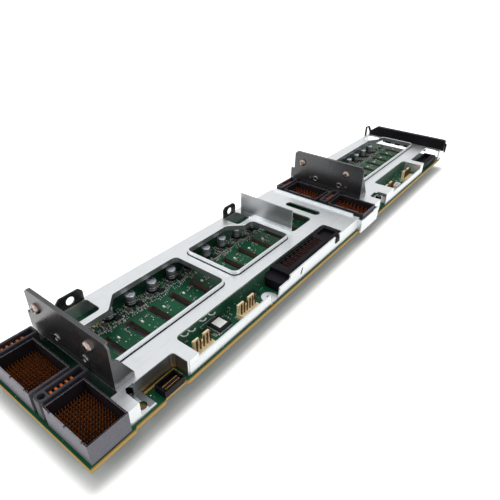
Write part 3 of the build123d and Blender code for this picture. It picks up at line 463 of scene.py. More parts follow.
def can_finish():
    """Capacitor sleeve: ribbed wall with painted shade low down by the board, brightening to a painted
    highlight at the rolled shoulder.
    """
    material, tree, shader = empty_material("can_sleeve_painted_light")
    height = axes_of(tree)[2]
    # Painted light: the wall is darkest by the board as shade and brightest near the top as a highlight.
    wall = layered(tree, height, place(0, 0, 1).z, place(0, 0, 7.7).z, (
        (0.0, tone(52, 54, 58)), (0.2, tone(120, 122, 126)), (0.5, tone(150, 152, 156)),
        (0.9, tone(196, 199, 206))))
    grain = grouped(tree, "Grain", Scale=1200.0, Stretch=(1.0, 1.0, 3.0))
    colour = blended(tree, product(tree, grain["Mask"], 0.3), wall, tone(60, 62, 68))
    surfaced(tree, shader, colour, grain["Mask"], (0.22, 0.36), grain["Height"], 0.00002)
    shade(shader, Metallic=0.85)
    return material


# Each plain finish: two tones and the roughness, then metallic, specular and grain scale where they matter.
PLAIN_FINISHES = {
    # A near-black bend at the foot of each rim, painted as the shade in the crease.
    "rim_crease_painted_shade": ((40, 36, 44), (16, 12, 18), (0.5, 0.7), 0.0, 0.1),
    "plated_screw": ((186, 170, 162), (146, 130, 122), (0.26, 0.36), 1.0),
    "rivet_head": ((150, 146, 146), (116, 112, 114), (0.2, 0.3), 1.0),
    # The next two finishes are a painted highlight for the headers' top edges and painted shade for the faces
    # inside them.
    "header_painted_highlight": ((142, 140, 148), (112, 110, 118), (0.3, 0.44), 0.0, 0.5, 1600.0),
    "header_painted_shade": ((38, 32, 36), (26, 22, 25), (0.5, 0.64), 0.0, 0.12, 1600.0),
    "module_plastic": ((64, 62, 69), (50, 48, 55), (0.4, 0.52), 0.0, 0.25, 1600.0),
    "pin_field": ((30, 18, 12), (18, 11, 8), (0.6, 0.8), 0.0, 0.1),
    "bronze_pin": ((172, 98, 46), (132, 70, 32), (0.4, 0.54), 0.3, 0.3),
    "copper_pin": ((214, 112, 50), (176, 84, 34), (0.34, 0.46), 0.3, 0.3),
    "can_mark": ((24, 34, 92), (16, 22, 64), (0.24, 0.34)),
    "black_plastic": ((22, 19, 24), (14, 12, 16), (0.44, 0.6), 0.0, 0.1, 1500.0),
    "dark_screw": ((70, 68, 68), (44, 42, 42), (0.16, 0.26), 1.0),
    # Dark painted shade for the screws' cross recesses and the rivets' holes.
    "recess_painted_shade": ((44, 38, 36), (24, 20, 20), (0.4, 0.6), 0.4, 0.2),
    "socket_blade": ((104, 64, 56), (72, 42, 36), (0.4, 0.55), 0.2, 0.3),
    "white_plastic": ((240, 240, 236), (222, 222, 218), (0.36, 0.5)),
    "wafer_pin": ((128, 98, 66), (92, 66, 44), (0.24, 0.36), 0.8),
    "gold_plate": ((226, 176, 88), (202, 146, 62), (0.22, 0.36), 0.85),
    "chip_resin": ((28, 28, 30), (18, 18, 20), (0.44, 0.6), 0.0, 0.2, 2400.0),
    "paper_label": ((252, 252, 250), (246, 246, 242), (0.6, 0.75)),
    "ceramic_chip": ((146, 118, 86), (112, 86, 60), (0.5, 0.66)),
    "resistor_body": ((38, 38, 42), (24, 24, 28), (0.3, 0.42)),
    "solder": ((232, 234, 236), (190, 192, 196), (0.3, 0.44), 0.4),
    "coil_body": ((74, 66, 60), (52, 46, 42), (0.5, 0.66)),
    "silkscreen": ((236, 240, 236), (212, 220, 212), (0.55, 0.7)),
}


def make_finishes(colours):
    """Every finish by the name that the pieces ask for."""
    grey = tuple(colours.header_grey)
    made = {
        "board_solder_mask": board_finish(colours),
        "zinc_sheet": zinc_finish("zinc_sheet", tuple(colours.zinc), (0.32, 0.4), 0.95),
        # The ears' dark steel is drawn darker still, as painted shade.
        "ear_steel_painted_shade": zinc_finish("ear_steel_painted_shade", tone(78, 78, 82), (0.3, 0.4), 0.9),
        "bracket_steel": zinc_finish("bracket_steel", tuple(colours.bracket), (0.26, 0.33), 0.93),
        "can_sleeve_painted_light": can_finish(),
        "header_plastic": plain_finish("header_plastic", grey, dimmed(grey, 0.84), (0.36, 0.5), 0.0, 0.35,
                                       1600.0),
        "copper_contact": plain_finish("copper_contact", tuple(colours.contact), tone(206, 98, 26),
                                       (0.3, 0.45), 0.25),
        "cream_plastic": plain_finish("cream_plastic", tuple(colours.cream), tone(236, 212, 160),
                                      (0.36, 0.5)),
    }
    for name, (first, second, *rest) in PLAIN_FINISHES.items():
        made[name] = plain_finish(name, tone(*first), tone(*second), *rest)
    return made


FINISHES = {}
CAD_FINISHES = {
    "circuit_board": "board_solder_mask", "stiffener_tray": "zinc_sheet", "chassis_foot": "zinc_sheet",
    "first_pocket_wall": "zinc_sheet", "tray_ears": "ear_steel_painted_shade", "near_bracket": "bracket_steel",
    "mid_bracket": "bracket_steel", "bracket_screws": "plated_screw", "bracket_rivets": "rivet_head",
    "tray_screws": "dark_screw", "power_module_contacts": "copper_contact", "header_pins": "pin_field",
    "capacitor_cans": "can_sleeve_painted_light", "capacitor_bases": "black_plastic", "front_header_pins": "wafer_pin",
    "power_connector": "black_plastic", "power_connector_blades": "socket_blade",
    "mezzanine_connector": "black_plastic", "mezzanine_contacts": "gold_plate",
    "far_connector": "black_plastic", "controller_chip": "chip_resin", "small_chips": "chip_resin",
    "end_bar": "black_plastic", "small_front_header": "cream_plastic",
}


def finish_for(node):
    """The finish of a CAD node, by its name."""
    if node in CAD_FINISHES:
        return CAD_FINISHES[node]
    if node in WAFER_HEADERS:
        return "cream_plastic"
    if node.endswith("_power_module"):
        return "module_plastic"
    if node.startswith("drive_receptacle"):
        return "black_plastic"
    return "header_plastic"


def object_from(name, build):
    """A mesh object made by a function that fills a bmesh."""
    work = bmesh.new()
    build(work)
    mesh = bpy.data.meshes.new(name)
    work.to_mesh(mesh)
    work.free()
    return linked(name, mesh)


def linked(name, mesh):
    """An object for a mesh, in the scene."""
    made = bpy.data.objects.new(name, mesh)
    bpy.context.scene.collection.objects.link(made)
    return made


def evaluated_copy(name, carrier):
    """A plain object of what a carrier's modifiers make; the carrier goes."""
    shot = carrier.evaluated_get(bpy.context.evaluated_depsgraph_get())
    made = linked(name, bpy.data.meshes.new_from_object(shot))
    bpy.data.objects.remove(carrier)
    if not made.data.polygons:
        raise RuntimeError(name + " came out empty")
    return made


def settle(piece, finish, replaced=()):
    """Gives a finished piece its material and ties it to the board."""
    piece.data.materials.clear()
    piece.data.materials.append(FINISHES[finish])
    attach(piece, "root")
    if replaced:
        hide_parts(*replaced)
    return piece


def skin(work, rows, closed=True):
    """Faces between each row of corners and the next one."""
    for lower, upper in zip(rows, rows[1:]):
        for index in range(len(lower) if closed else len(lower) - 1):
            after = (index + 1) % len(lower)
            work.faces.new((lower[index], lower[after], upper[after], upper[index]))


def add_solid(work, lower, upper):
    """A closed solid between two outlines that run anticlockwise, seen from above."""
    rows = [[work.verts.new(point) for point in outline] for outline in (lower, upper)]
    work.faces.new(rows[0][::-1])
    work.faces.new(rows[1])
    skin(work, rows)


def add_box(work, x0, x1, y0, y1, z0, z1, top=0.0, base=(0.0, 0.0, 0.0)):
    """A box in mm from a base point; its top may be drawn in by a little on each side."""
    def outline(inset, z):
        return [(base[0] + x * MM, base[1] + y * MM, base[2] + z * MM)
                for x, y in ((x0 + inset, y0 + inset), (x1 - inset, y0 + inset),
                             (x1 - inset, y1 - inset), (x0 + inset, y1 - inset))]
    add_solid(work, outline(0.0, z0), outline(top, z1))


def board_box(work, x0, x1, y0, y1, z0, z1, top=0.0):
    """A box in mm from the board's near front corner."""
    add_box(work, x0, x1, y0, y1, z0, z1, top, CORNER)


def add_lathe(work, profile, sides=28):
    """A turned shape from a profile of radius and height in mm; it closes on the axis at both ends."""
    rings = []
    for radius, height in profile:
        angles = [2 * math.pi * side / sides for side in range(sides)] if radius > 0 else [0.0]
        ring = [(radius * math.cos(angle), radius * math.sin(angle), height) for angle in angles]
        rings.append([work.verts.new([value * MM for value in point]) for point in ring])
    for lower, upper in zip(rings, rings[1:]):
        for side in range(sides):
            after = (side + 1) % sides
            corners = [lower[side % len(lower)], lower[after % len(lower)],
                       upper[after % len(upper)], upper[side % len(upper)]]
            unique = list(dict.fromkeys(corners))
            if len(unique) > 2:
                work.faces.new(unique)


def parts_tree():
    """Geometry Nodes that stand one part on each point, turned as the point says."""
    name = "Parts on points"
    if name in bpy.data.node_groups:
        return bpy.data.node_groups[name]
    tree = bpy.data.node_groups.new(name, "GeometryNodeTree")
    for label, kind, value in (
            ("Places", "Geometry", None), ("Part", "Object", None), ("Finish", "Material", None),
            ("Size", "Vector", (1.0, 1.0, 1.0)), ("Turn error", "Float", 0.0), ("Seed", "Int", TURN_SEED)):
        socket = tree.interface.new_socket(name=label, in_out="INPUT", socket_type="NodeSocket" + kind)
        if value is not None:
            socket.default_value = value
    tree.interface.new_socket(name="Parts", in_out="OUTPUT", socket_type="NodeSocketGeometry")
    given = tree.nodes.new("NodeGroupInput").outputs
    out = tree.nodes.new("NodeGroupOutput")
    part = add_node(tree, "GeometryNodeObjectInfo", {"Object": given["Part"]})
    points = add_node(tree, "GeometryNodeMeshToPoints", {"Mesh": given["Places"]})
    turn = add_node(tree, "GeometryNodeInputNamedAttribute", {"Name": "turn"}, data_type="FLOAT")
    least = math_node(tree, "MULTIPLY", given["Turn error"], -1.0)
    limits = {2: least, 3: given["Turn error"], "Seed": given["Seed"]}
    error = add_node(tree, "FunctionNodeRandomValue", limits, data_type="FLOAT")
    total = math_node(tree, "ADD", turn.outputs[0], error.outputs[1])
    angle = add_node(tree, "ShaderNodeCombineXYZ", {2: total})
    set_out = add_node(tree, "GeometryNodeInstanceOnPoints",
                       {"Points": points.outputs[0], "Instance": part.outputs["Geometry"],
                        "Rotation": angle.outputs[0], "Scale": given["Size"]})
    real = add_node(tree, "GeometryNodeRealizeInstances", {0: set_out.outputs[0]})
    coloured = add_node(tree, "GeometryNodeSetMaterial",
                        {"Geometry": real.outputs[0], "Material": given["Finish"]})
    tree.links.new(coloured.outputs[0], out.inputs[0])
    return tree


def repeated(name, part, spots, finish, replaced=(), turn_error=0.0):
    """One plain mesh of a part repeated on spots: x, y, z in mm, with or without a turn in degrees."""
    def points(work):
        for spot in spots:
            work.verts.new(place(*spot[:3]))
    carrier = object_from(name + "_places", points)
    turn = carrier.data.attributes.new("turn", "FLOAT", "POINT")
    for index, spot in enumerate(spots):
        turn.data[index].value = math.radians(spot[3]) if len(spot) > 3 else 0.0
    modifier = carrier.modifiers.new("Parts", "NODES")
    modifier.node_group = parts_tree()
    sockets = {item.name: item.identifier for item in modifier.node_group.interface.items_tree
               if item.in_out == "INPUT"}
    modifier[sockets["Part"]] = part
    modifier[sockets["Finish"]] = FINISHES[finish]
    modifier[sockets["Turn error"]] = math.radians(turn_error)
    modifier[sockets["Seed"]] = TURN_SEED
    made = evaluated_copy(name, carrier)
    bpy.data.objects.remove(part)
    return settle(made, finish, replaced)


def box_part(length, width, low, high, top=0.0, spots=((0.0, 0.0),)):
    """A small part made of one or more like boxes round its own middle, in mm."""
    def build(work):
        for x, y in spots:
            add_box(work, x - length / 2, x + length / 2, y - width / 2, y + width / 2, low, high, top)
    return object_from("part", build)


def drive_middles():
    """X of each drive that an open part of the tray shows, in mm."""
    return [FIRST_DRIVE + DRIVE_PITCH * index for index in range(DRIVES) if index + 1 not in HIDDEN_DRIVES]


def slot_middles():
    """X of each vent slot, in mm."""
    return [FIRST_SLOT + DRIVE_PITCH * index for index in range(DRIVES) if index != 12]


class BACKPLANE_OT_finishes(bpy.types.Operator):
    """Give every solid of the board its finish"""
    bl_idname = "backplane.finishes"
    bl_label = "Finishes"

    def execute(self, context):
        FINISHES.update(make_finishes(context.scene.backplane_colours))
        for name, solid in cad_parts.items():
            solid.data.materials.clear()
            solid.data.materials.append(FINISHES[finish_for(name)])
        return {"FINISHED"}


def softened(node, width, finish, cut=None):
    """A copy of a CAD solid with hollows cut in it and its edges rounded a little, which stands in for it."""
    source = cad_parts[node].data

    def merged(work):
        work.from_mesh(source)
        bmesh.ops.remove_doubles(work, verts=work.verts, dist=0.000002)
        bmesh.ops.dissolve_limit(work, angle_limit=math.radians(1.0), verts=work.verts, edges=work.edges)
    carrier = object_from(node + "_merged", merged)
    if cut:
        cutter = object_from(node + "_hollows", cut)
        hollow = carrier.modifiers.new("Hollows", "BOOLEAN")
        hollow.operation = "DIFFERENCE"
        hollow.solver = "EXACT"
        hollow.use_self = True
        hollow.object = cutter
    bevel = carrier.modifiers.new("Soft edges", "BEVEL")
    bevel.width = width * MM
    bevel.segments = 2
    bevel.limit_method = "ANGLE"
    bevel.angle_limit = math.radians(40.0)
    bevel.use_clamp_overlap = True
    made = evaluated_copy(node + "_moulded", carrier)
    if cut:
        bpy.data.objects.remove(cutter)
    return settle(made, finish, [node])


def header_hollow(node):
    """Cuts a header's box out to thinner walls."""
    x0, x1, y0, y1, z0, z1 = extent(node)
    wall = SHOWN_WALL

    def cut(work):
        board_box(work, x0 + wall, x1 - wall, y0 + wall, y1 - wall, HEADER_FLOOR + 0.3, z1 + 1)
    return cut


def paint_header_shade_and_highlight(piece, node, inside, edge):
    """Gives the faces inside a header's box a darker finish as painted shade and its top edge a paler one as
    painted highlight.
    """
    low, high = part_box(node)
    piece.data.materials.append(FINISHES[inside])
    piece.data.materials.append(FINISHES[edge])
    reach = (SHOWN_WALL - 0.05) * MM
    for face in piece.data.polygons:
        at = face.center
        if min(at.x - low.x, high.x - at.x, at.y - low.y, high.y - at.y) > reach:
            face.material_index = 1
        elif at.z > high.z - 0.3 * MM:
            face.material_index = 2


def round_end_corner(work, x, y, radius, inward, low, high):
    """The prism that rounds one upright edge of a near end when it is cut away; inward is 1 or -1 along y."""
    outline = [(x - 1, y - inward), (x - 1, y + inward * radius)]
    for step in range(9):
        angle = math.radians(11.25 * step)
        outline.append((x + radius * (1 - math.cos(angle)), y + inward * radius * (1 - math.sin(angle))))
    outline.append((x + radius, y - inward))
    if inward > 0:
        outline.reverse()
    add_solid(work, [place(a, b, low) for a, b in outline], [place(a, b, high) for a, b in outline])


def connector_hollows(work):
    """The cells, the grooves, the lowered ends and the rounded nose of the power connector."""
    x0, x1, y0, y1, z0, z1 = extent("power_connector")
    top = z1 + 1
    for index in range(CELLS):
        x = FIRST_CELL + CELL_PITCH * index
        board_box(work, x - 1.9, x + 1.9, CELL_Y - 3.7, CELL_Y + 3.7, 3.6, top)
    start = FIRST_CELL - 4.0
    end = FIRST_CELL + CELL_PITCH * (CELLS - 1) + 4.2
    board_box(work, start, end, y1 - 1.9, y1 - 1.1, z1 - 1.4, top)
    board_box(work, start, end, y0 + 3.0, y0 + 3.6, z1 - 0.8, top)
    board_box(work, x0 - 1, x0 + 8.6, y0 - 1, y1 + 1, z1 - 2.6, top)
    board_box(work, end + 3.0, x1 - 2.4, y0 + 5.0, y1 - 2.4, z1 - 2.2, top)
    for y, inward in ((y0, 1), (y1, -1)):
        round_end_corner(work, x0, y, 4.4, inward, z0 - 1, z1 - 2.0)


def mezzanine_hollow(work):
    """The small connector's box cut out to thin walls round its tongue."""
    x0, x1, y0, y1, z0, z1 = extent("mezzanine_connector")
    tongue = extent("mezzanine_contacts")
    wall = 0.55
    for low, high in ((y0 + wall, tongue[2] - 0.02), (tongue[3] + 0.02, y1 - wall)):
        board_box(work, x0 + wall, x1 - wall, low, high, 1.2, z1 + 1)


class BACKPLANE_OT_moulded_parts(bpy.types.Operator):
    """Round the edges of the moulded and folded parts"""
    bl_idname = "backplane.moulded_parts"
    bl_label = "Moulded parts"

    def execute(self, context):
        for header in SIGNAL_HEADERS:
            node = header + "_signal_header"
            near = header.startswith("near")
            shell = softened(node, 0.2, "header_plastic" if near else "module_plastic",
                             header_hollow(node))
            # Painted shade inside each header and a painted highlight on its top edge: paler grey on the near
            # ones, the near headers' grey on the dark mid ones.
            paint_header_shade_and_highlight(shell, node, "header_painted_shade", "header_painted_highlight" if near else "header_plastic")
            softened(header + "_power_module", 0.2, "module_plastic")
        for header in WAFER_HEADERS:
            softened(header, 0.12, "cream_plastic")
        for name in ("near_bracket", "mid_bracket"):
            softened(name, 0.18, "bracket_steel")
        for name, width, cut in (("power_connector", 0.25, connector_hollows), ("far_connector", 0.25, None),
                                 ("end_bar", 0.35, None), ("mezzanine_connector", 0.1, mezzanine_hollow),
                                 ("capacitor_bases", 0.12, None)):
            softened(name, width, "black_plastic", cut)
        softened("small_front_header", 0.12, "white_plastic")
        return {"FINISHED"}


class BACKPLANE_OT_header_pins(bpy.types.Operator):
    """Fill the four signal headers with rows of square pins in their insulator"""
    bl_idname = "backplane.header_pins"
    bl_label = "Header pins"

    def execute(self, context):
        sizes = context.scene.backplane_sizes
        side = sizes.pin_side / MM
        spots = {"near": [], "mid": []}
        wall = SHOWN_WALL + 0.1

        def insulator(work):
            for header in SIGNAL_HEADERS:
                x0, x1, y0, y1, z0, z1 = extent(header + "_signal_header")
                x0, x1, y0, y1 = x0 + wall, x1 - wall, y0 + wall, y1 - wall
                floor = z0 + HEADER_FLOOR
                board_box(work, x0, x1, y0, y1, floor, floor + 1.2)
                pair = header.split("_")[0]
                open_up = 1.0 if pair == "near" else MID_PITCH
                pitch_x = sizes.pin_pitch_x / MM * open_up
                pitch_y = sizes.pin_pitch_y / MM * open_up
                along = int((x1 - x0 - PIN_MARGIN) / pitch_x) + 1
                across = int((y1 - y0 - PIN_MARGIN) / pitch_y) + 1
                for row in range(along):
                    for column in range(across):
                        x = (x0 + x1) / 2 + (row - (along - 1) / 2) * pitch_x
                        y = (y0 + y1) / 2 + (column - (across - 1) / 2) * pitch_y
                        spots[pair].append((x, y, PIN_FOOT))
        settle(object_from("pin_insulators", insulator), "pin_field", ["header_pins"])
        for pair, finish, extra in (("near", "bronze_pin", 0.0), ("mid", "copper_pin", MID_PIN_EXTRA)):
            pin = box_part(side, side * 0.6, 0.0, sizes.pin_height / MM - PIN_FOOT + extra, side * 0.18)
            repeated(pair + "_signal_pins", pin, spots[pair], finish)
        return {"FINISHED"}


def facing_near(profile, sides=24):
    """A small turned part whose axis points to the board's near end, from radii and heights in mm."""
    def build(work):
        add_lathe(work, profile, sides)
        turn = Matrix.Rotation(math.radians(-90.0), 3, "Y")
        bmesh.ops.rotate(work, verts=work.verts, cent=(0.0, 0.0, 0.0), matrix=turn)
    return object_from("part", build)


def upright_cross(length, width, low, high):
    """A cross of two bars that lies on a plate facing the board's near end."""
    def build(work):
        for along, across in ((length, width), (width, length)):
            add_box(work, -high, -low, -along / 2, along / 2, -across / 2, across / 2)
    return object_from("part", build)


class BACKPLANE_OT_bracket_fasteners(bpy.types.Operator):
    """Turn the brackets' pan-head screws with a dark cross as painted shade in their recess, and their hollow
    rivets with painted shade in their holes
    """
    bl_idname = "backplane.bracket_fasteners"
    bl_label = "Bracket fasteners"

    def execute(self, context):
        screws = [(x, y, SCREW_Z) for x in BRACKET_FACES for y in SCREW_Y]
        rivets = [(x, y, RIVET_Z) for x in BRACKET_FACES for y in RIVET_Y]
        head = facing_near([(0.0, -3.8), (1.5, -3.8), (1.5, 0.0), (2.9, 0.0), (2.9, 0.6), (2.7, 1.15),
                            (2.2, 1.6), (1.4, 1.85), (0.0, 1.9)])
        repeated("bracket_screw_heads", head, screws, "plated_screw", ["bracket_screws"])
        # A dark cross on each screw head, painted as the shade in its recess.
        repeated("bracket_screw_recesses", upright_cross(3.0, 0.6, 1.2, 1.98), screws, "recess_painted_shade")
        ring = facing_near([(0.0, -2.1), (1.5, -2.1), (1.5, 0.0), (2.5, 0.0), (2.45, 0.3), (2.1, 0.55),
                            (1.5, 0.6), (1.2, 0.4), (1.1, 0.1), (0.0, 0.1)])
        repeated("bracket_rivet_heads", ring, rivets, "rivet_head", ["bracket_rivets"])
        # A dark disc in each rivet's hollow, painted as the shade in its hole.
        hole = facing_near([(0.0, 0.1), (1.05, 0.1), (1.05, 0.16), (0.0, 0.16)])
        repeated("bracket_rivet_holes", hole, rivets, "recess_painted_shade")
        return {"FINISHED"}


class BACKPLANE_OT_power_blades(bpy.types.Operator):
    """Stand two copper blades in each cell of the power connector"""
    bl_idname = "backplane.power_blades"
    bl_label = "Power blades"

    def execute(self, context):
        blade = box_part(0.55, 6.2, 3.5, 8.5, 0.05, ((-1.5, 0.0), (1.5, 0.0)))
        spots = [(FIRST_CELL + CELL_PITCH * index, CELL_Y, 0.0) for index in range(CELLS)]
        repeated("power_blades", blade, spots, "socket_blade", ["power_connector_blades"])
        return {"FINISHED"}


def rounded_path(corners, radius, steps=8):
    """Points round a flat outline with its corners rounded, each with the direction that points outwards."""
    path = []
    count = len(corners)
    for index in range(count):
        here = Vector(corners[index])
        back = (Vector(corners[index - 1]) - here).normalized()
        ahead = (Vector(corners[(index + 1) % count]) - here).normalized()
        half = back.angle(ahead) / 2
        middle = here + (back + ahead).normalized() * (radius / math.sin(half))
        start = here + back * (radius / math.tan(half)) - middle
        end = here + ahead * (radius / math.tan(half)) - middle
        turn = start.angle_signed(end)
        convex = back.cross(ahead) < 0
        for step in range(steps + 1):
            spoke = Matrix.Rotation(-turn * step / steps, 2) @ start
            point = middle + spoke
            outward = spoke.normalized() if convex else -spoke.normalized()
            path.append((point.x, point.y, outward.x, outward.y))
    return path


def rim_strip(name, finish, section):
    """A strip along each window's rim; its section gives distances out from the window and heights, in mm."""
    def build(work):
        for corners in WINDOWS:
            path = rounded_path(corners, WINDOW_CORNER)
            skin(work, [[work.verts.new(place(x + nx * out, y + ny * out, z)) for x, y, nx, ny in path]
                        for out, z in section])
    settle(object_from(name, build), finish)


class BACKPLANE_OT_rim_bends(bpy.types.Operator):
    """Add the small bend at the foot of each window rim, near-black as painted shade, and the rounded edge on
    top of it
    """
    bl_idname = "backplane.rim_bends"
    bl_label = "Rim bends"

    def execute(self, context):
        radius = context.scene.backplane_sizes.crease / MM
        foot = []
        for step in range(4):
            angle = math.radians(90 - 30 * step)
            foot.append((SHEET - 0.02 + radius * (1 - math.sin(angle)),
                         TRAY_TOP - 0.01 + radius * (1 - math.cos(angle))))
        # The bend's near-black finish is painted shade in the crease.
        rim_strip("rim_bends", "rim_crease_painted_shade", foot)
        crown = []
        for step in range(7):
            angle = math.radians(30 * step)
            crown.append((SHEET / 2 * (1 + math.cos(angle)), RIM_TOP - 0.01 + SHEET * 0.25 * math.sin(angle)))
        rim_strip("rim_edges", "zinc_sheet", crown)
        return {"FINISHED"}


def can_middles():
    """X and Y of each capacitor in mm, from the box that holds them and the drive pitch."""
    x0, x1, y0, y1 = extent("capacitor_cans")[:4]
    first = x0 + CAN_RADIUS
    count = round((x1 - CAN_RADIUS - first) / DRIVE_PITCH) + 1
    hidden = [FIRST_DRIVE + DRIVE_PITCH * (number - 1) for number in HIDDEN_DRIVES]
    spots = [first + DRIVE_PITCH * index for index in range(count)]
    return [(x, (y0 + y1) / 2) for x in spots if all(abs(x - middle) > DRIVE_PITCH / 2 for middle in hidden)]


class BACKPLANE_OT_capacitors(bpy.types.Operator):
    """Turn the capacitor cans with their crimp, their printed half top and their leads"""
    bl_idname = "backplane.capacitors"
    bl_label = "Capacitors"

    def execute(self, context):
        cans = [(x, y, 0.0) for x, y in can_middles()]
        profile = [(0.0, 1.0), (2.75, 1.0), (CAN_RADIUS, 1.25), (CAN_RADIUS, 1.9), (2.8, 2.2), (2.8, 2.5),
                   (CAN_RADIUS, 2.8), (CAN_RADIUS, 3.5), (2.95, 3.7), (2.95, 3.9), (CAN_RADIUS, 4.1),
                   (CAN_RADIUS, 7.2), (2.95, 7.58), (2.7, 7.7), (2.5, CAN_TOP), (0.0, CAN_TOP)]
        body = object_from("part", lambda work: add_lathe(work, profile))
        repeated("capacitor_sleeves", body, cans, "can_sleeve_painted_light", ["capacitor_cans"])

        def half_disc(work):
            angles = [math.radians(-28 + 130 * step / 14) for step in range(15)]
            edge = [(2.5 * MM * math.cos(angle), 2.5 * MM * math.sin(angle)) for angle in angles]
            add_solid(work, [(x, y, (CAN_TOP + 0.02) * MM) for x, y in edge],
                      [(x, y, (CAN_TOP + 0.08) * MM) for x, y in edge])
        repeated("capacitor_marks", object_from("part", half_disc), cans, "can_mark")
        leads = box_part(0.7, 1.8, 0.02, 0.3, 0.05, ((0.0, -3.9), (0.0, 3.9)))
        repeated("capacitor_leads", leads, [spot + (90.0,) for spot in cans], "solder")
        return {"FINISHED"}


def standing_boxes():
    """The rectangle in mm that each slot, capacitor and connector takes up on the board."""
    boxes = [(x - SLOT_HALF, x + SLOT_HALF) + SLOT_Y for x in slot_middles()]
    boxes += [(x - CAN_ROOM, x + CAN_ROOM, y - CAN_ROOM, y + CAN_ROOM) for x, y in can_middles()]
    for name in ("power_connector", "controller_chip", "mezzanine_connector", "far_connector",
                 "small_front_header") + WAFER_HEADERS:
        boxes.append(tuple(extent(name)[:4]))
    return boxes


def taken_up(boxes, x, y, reach):
    """True if something already stands near a spot on the board."""
    return any(x0 - reach < x < x1 + reach and y0 - reach < y < y1 + reach for x0, x1, y0, y1 in boxes)


def scatter(rng, boxes, count, x0, x1, y0, y1, gap, taken):
    """Spots on a half millimetre grid, each clear of all that is there."""
    found = []
    for attempt in range(count * TRIES_PER_PART):
        x = round(rng.uniform(x0, x1) * 2) / 2
        y = round(rng.uniform(y0, y1) * 2) / 2
        if taken_up(boxes, x, y, gap * 0.6) or any(abs(x - a) < gap and abs(y - b) < gap for a, b in taken):
            continue
        taken.append((x, y))
        found.append((x, y))
        if len(found) == count:
            break
    return found


def layout():
    """Where the small soldered parts stand: by kind, with their turns."""
    rng = random.Random(PART_SEED)
    boxes = standing_boxes()
    kinds = {"chips": [], "coils": [], "lamps": [], "ceramic": [], "resistor": []}
    taken = []
    for middle in drive_middles():
        slot = middle + DRIVE_PITCH / 2
        for offset, y, kind, turn in SLOT_PARTS:
            x = slot + offset
            if not taken_up(boxes, x, y, CLEARANCE):
                kinds[kind].append((x, y, 0.0, turn))
                taken += [(x, y), (x + PART_GAP, y), (x - PART_GAP, y)]
    zones = [(count, middle + x0, middle + x1, y0, y1) for middle in drive_middles()
             for count, x0, x1, y0, y1 in DRIVE_ZONES]
    for count, x0, x1, y0, y1 in zones + list(PART_ZONES):
        for x, y in scatter(rng, boxes, count, x0, x1, y0, y1, PART_GAP, taken):
            kind = "ceramic" if rng.random() < 0.4 else "resistor"
            kinds[kind].append((x, y, 0.0, rng.choice((0, 0, 90))))
    return kinds


class BACKPLANE_OT_small_parts(bpy.types.Operator):
    """Solder the chips, coils, lamps, ceramic capacitors and resistors on the board"""
    bl_idname = "backplane.small_parts"
    bl_label = "Small parts"

    def execute(self, context):
        height = context.scene.backplane_sizes.part_height / MM
        kinds = layout()
        ends = ((-0.66, 0), (0.66, 0))
        leads = [(x, side * 1.85) for side in (-1, 1) for x in (-1.5, -0.5, 0.5, 1.5)]
        for name, kind, finish, slot, error, sizes in (
                ("ceramic_bodies", "ceramic", "ceramic_chip", "chip", TURN_ERROR,
                 (1.0, 0.8, 0.02, height * 1.3, 0.04)),
                ("ceramic_ends", "ceramic", "solder", "screw_steel", TURN_ERROR,
                 (0.34, 0.84, 0.0, height * 1.34, 0.04, ends)),
                ("resistor_bodies", "resistor", "resistor_body", "chip", TURN_ERROR,
                 (1.0, 0.8, 0.02, height * 0.8, 0.03)),
                ("resistor_ends", "resistor", "solder", "screw_steel", TURN_ERROR,
                 (0.34, 0.84, 0.0, height * 0.84, 0.03, ends)),
                ("chip_bodies", "chips", "chip_resin", "chip", 0.0, (3.9, 3.0, 0.1, 1.15, 0.12)),
                ("chip_leads", "chips", "solder", "screw_steel", 0.0, (0.36, 0.9, 0.0, 0.34, 0.05, leads)),
                ("coil_bodies", "coils", "coil_body", "chip", 0.0, (2.9, 2.9, 0.0, 1.5, 0.25)),
                ("coil_ends", "coils", "solder", "screw_steel", 0.0,
                 (0.5, 2.2, 0.0, 0.6, 0.05, ((-1.6, 0), (1.6, 0)))),
                ("lamp_bodies", "lamps", "paper_label", "chip", 0.0, (1.7, 1.1, 0.0, 0.8, 0.12)),
                ("lamp_ends", "lamps", "gold_plate", "gold", 0.0,
                 (0.4, 1.1, 0.0, 0.3, 0.03, ((-1.0, 0), (1.0, 0))))):
            repeated(name, box_part(*sizes), kinds[kind], finish, turn_error=error)
        return {"FINISHED"}


class BACKPLANE_OT_chip_leads(bpy.types.Operator):
    """Put the rows of leads round the controller chip"""
    bl_idname = "backplane.chip_leads"
    bl_label = "Controller leads"

    def execute(self, context):
        x0, x1, y0, y1 = extent("controller_chip")[:4]
        spots = []
        for index in range(CHIP_LEADS_PER_SIDE):
            share = (index + 1) / (CHIP_LEADS_PER_SIDE + 1)
            x = x0 + (x1 - x0) * share
            y = y0 + (y1 - y0) * share
            spots += [(x, y0 - LEAD_OUT, 0.0, 90.0), (x, y1 + LEAD_OUT, 0.0, 90.0),
                      (x0 - LEAD_OUT, y, 0.0), (x1 + LEAD_OUT, y, 0.0)]
        repeated("controller_leads", box_part(1.1, 0.28, 0.0, 0.3, 0.04), spots, "solder")
        return {"FINISHED"}


def frame_lines(work, x, y, length, width, line):
    """A thin rectangular outline printed on the board, in mm."""
    for x0, x1, y0, y1 in ((x, x + length, y, y + line), (x, x + length, y + width - line, y + width),
                           (x, x + line, y + line, y + width - line),
                           (x + length - line, x + length, y + line, y + width - line)):
        board_box(work, x0, x1, y0, y1, 0.0, INK_TOP)


def arc_line(work, x, y, radius, start, end, line):
    """A thin printed arc, in mm and degrees."""
    steps = 10
    angles = [math.radians(start + (end - start) * step / steps) for step in range(steps + 1)]
    skin(work, [[work.verts.new(place(x + reach * math.cos(angle), y + reach * math.sin(angle), INK_TOP))
                 for reach in (radius - line / 2, radius + line / 2)] for angle in angles], closed=False)


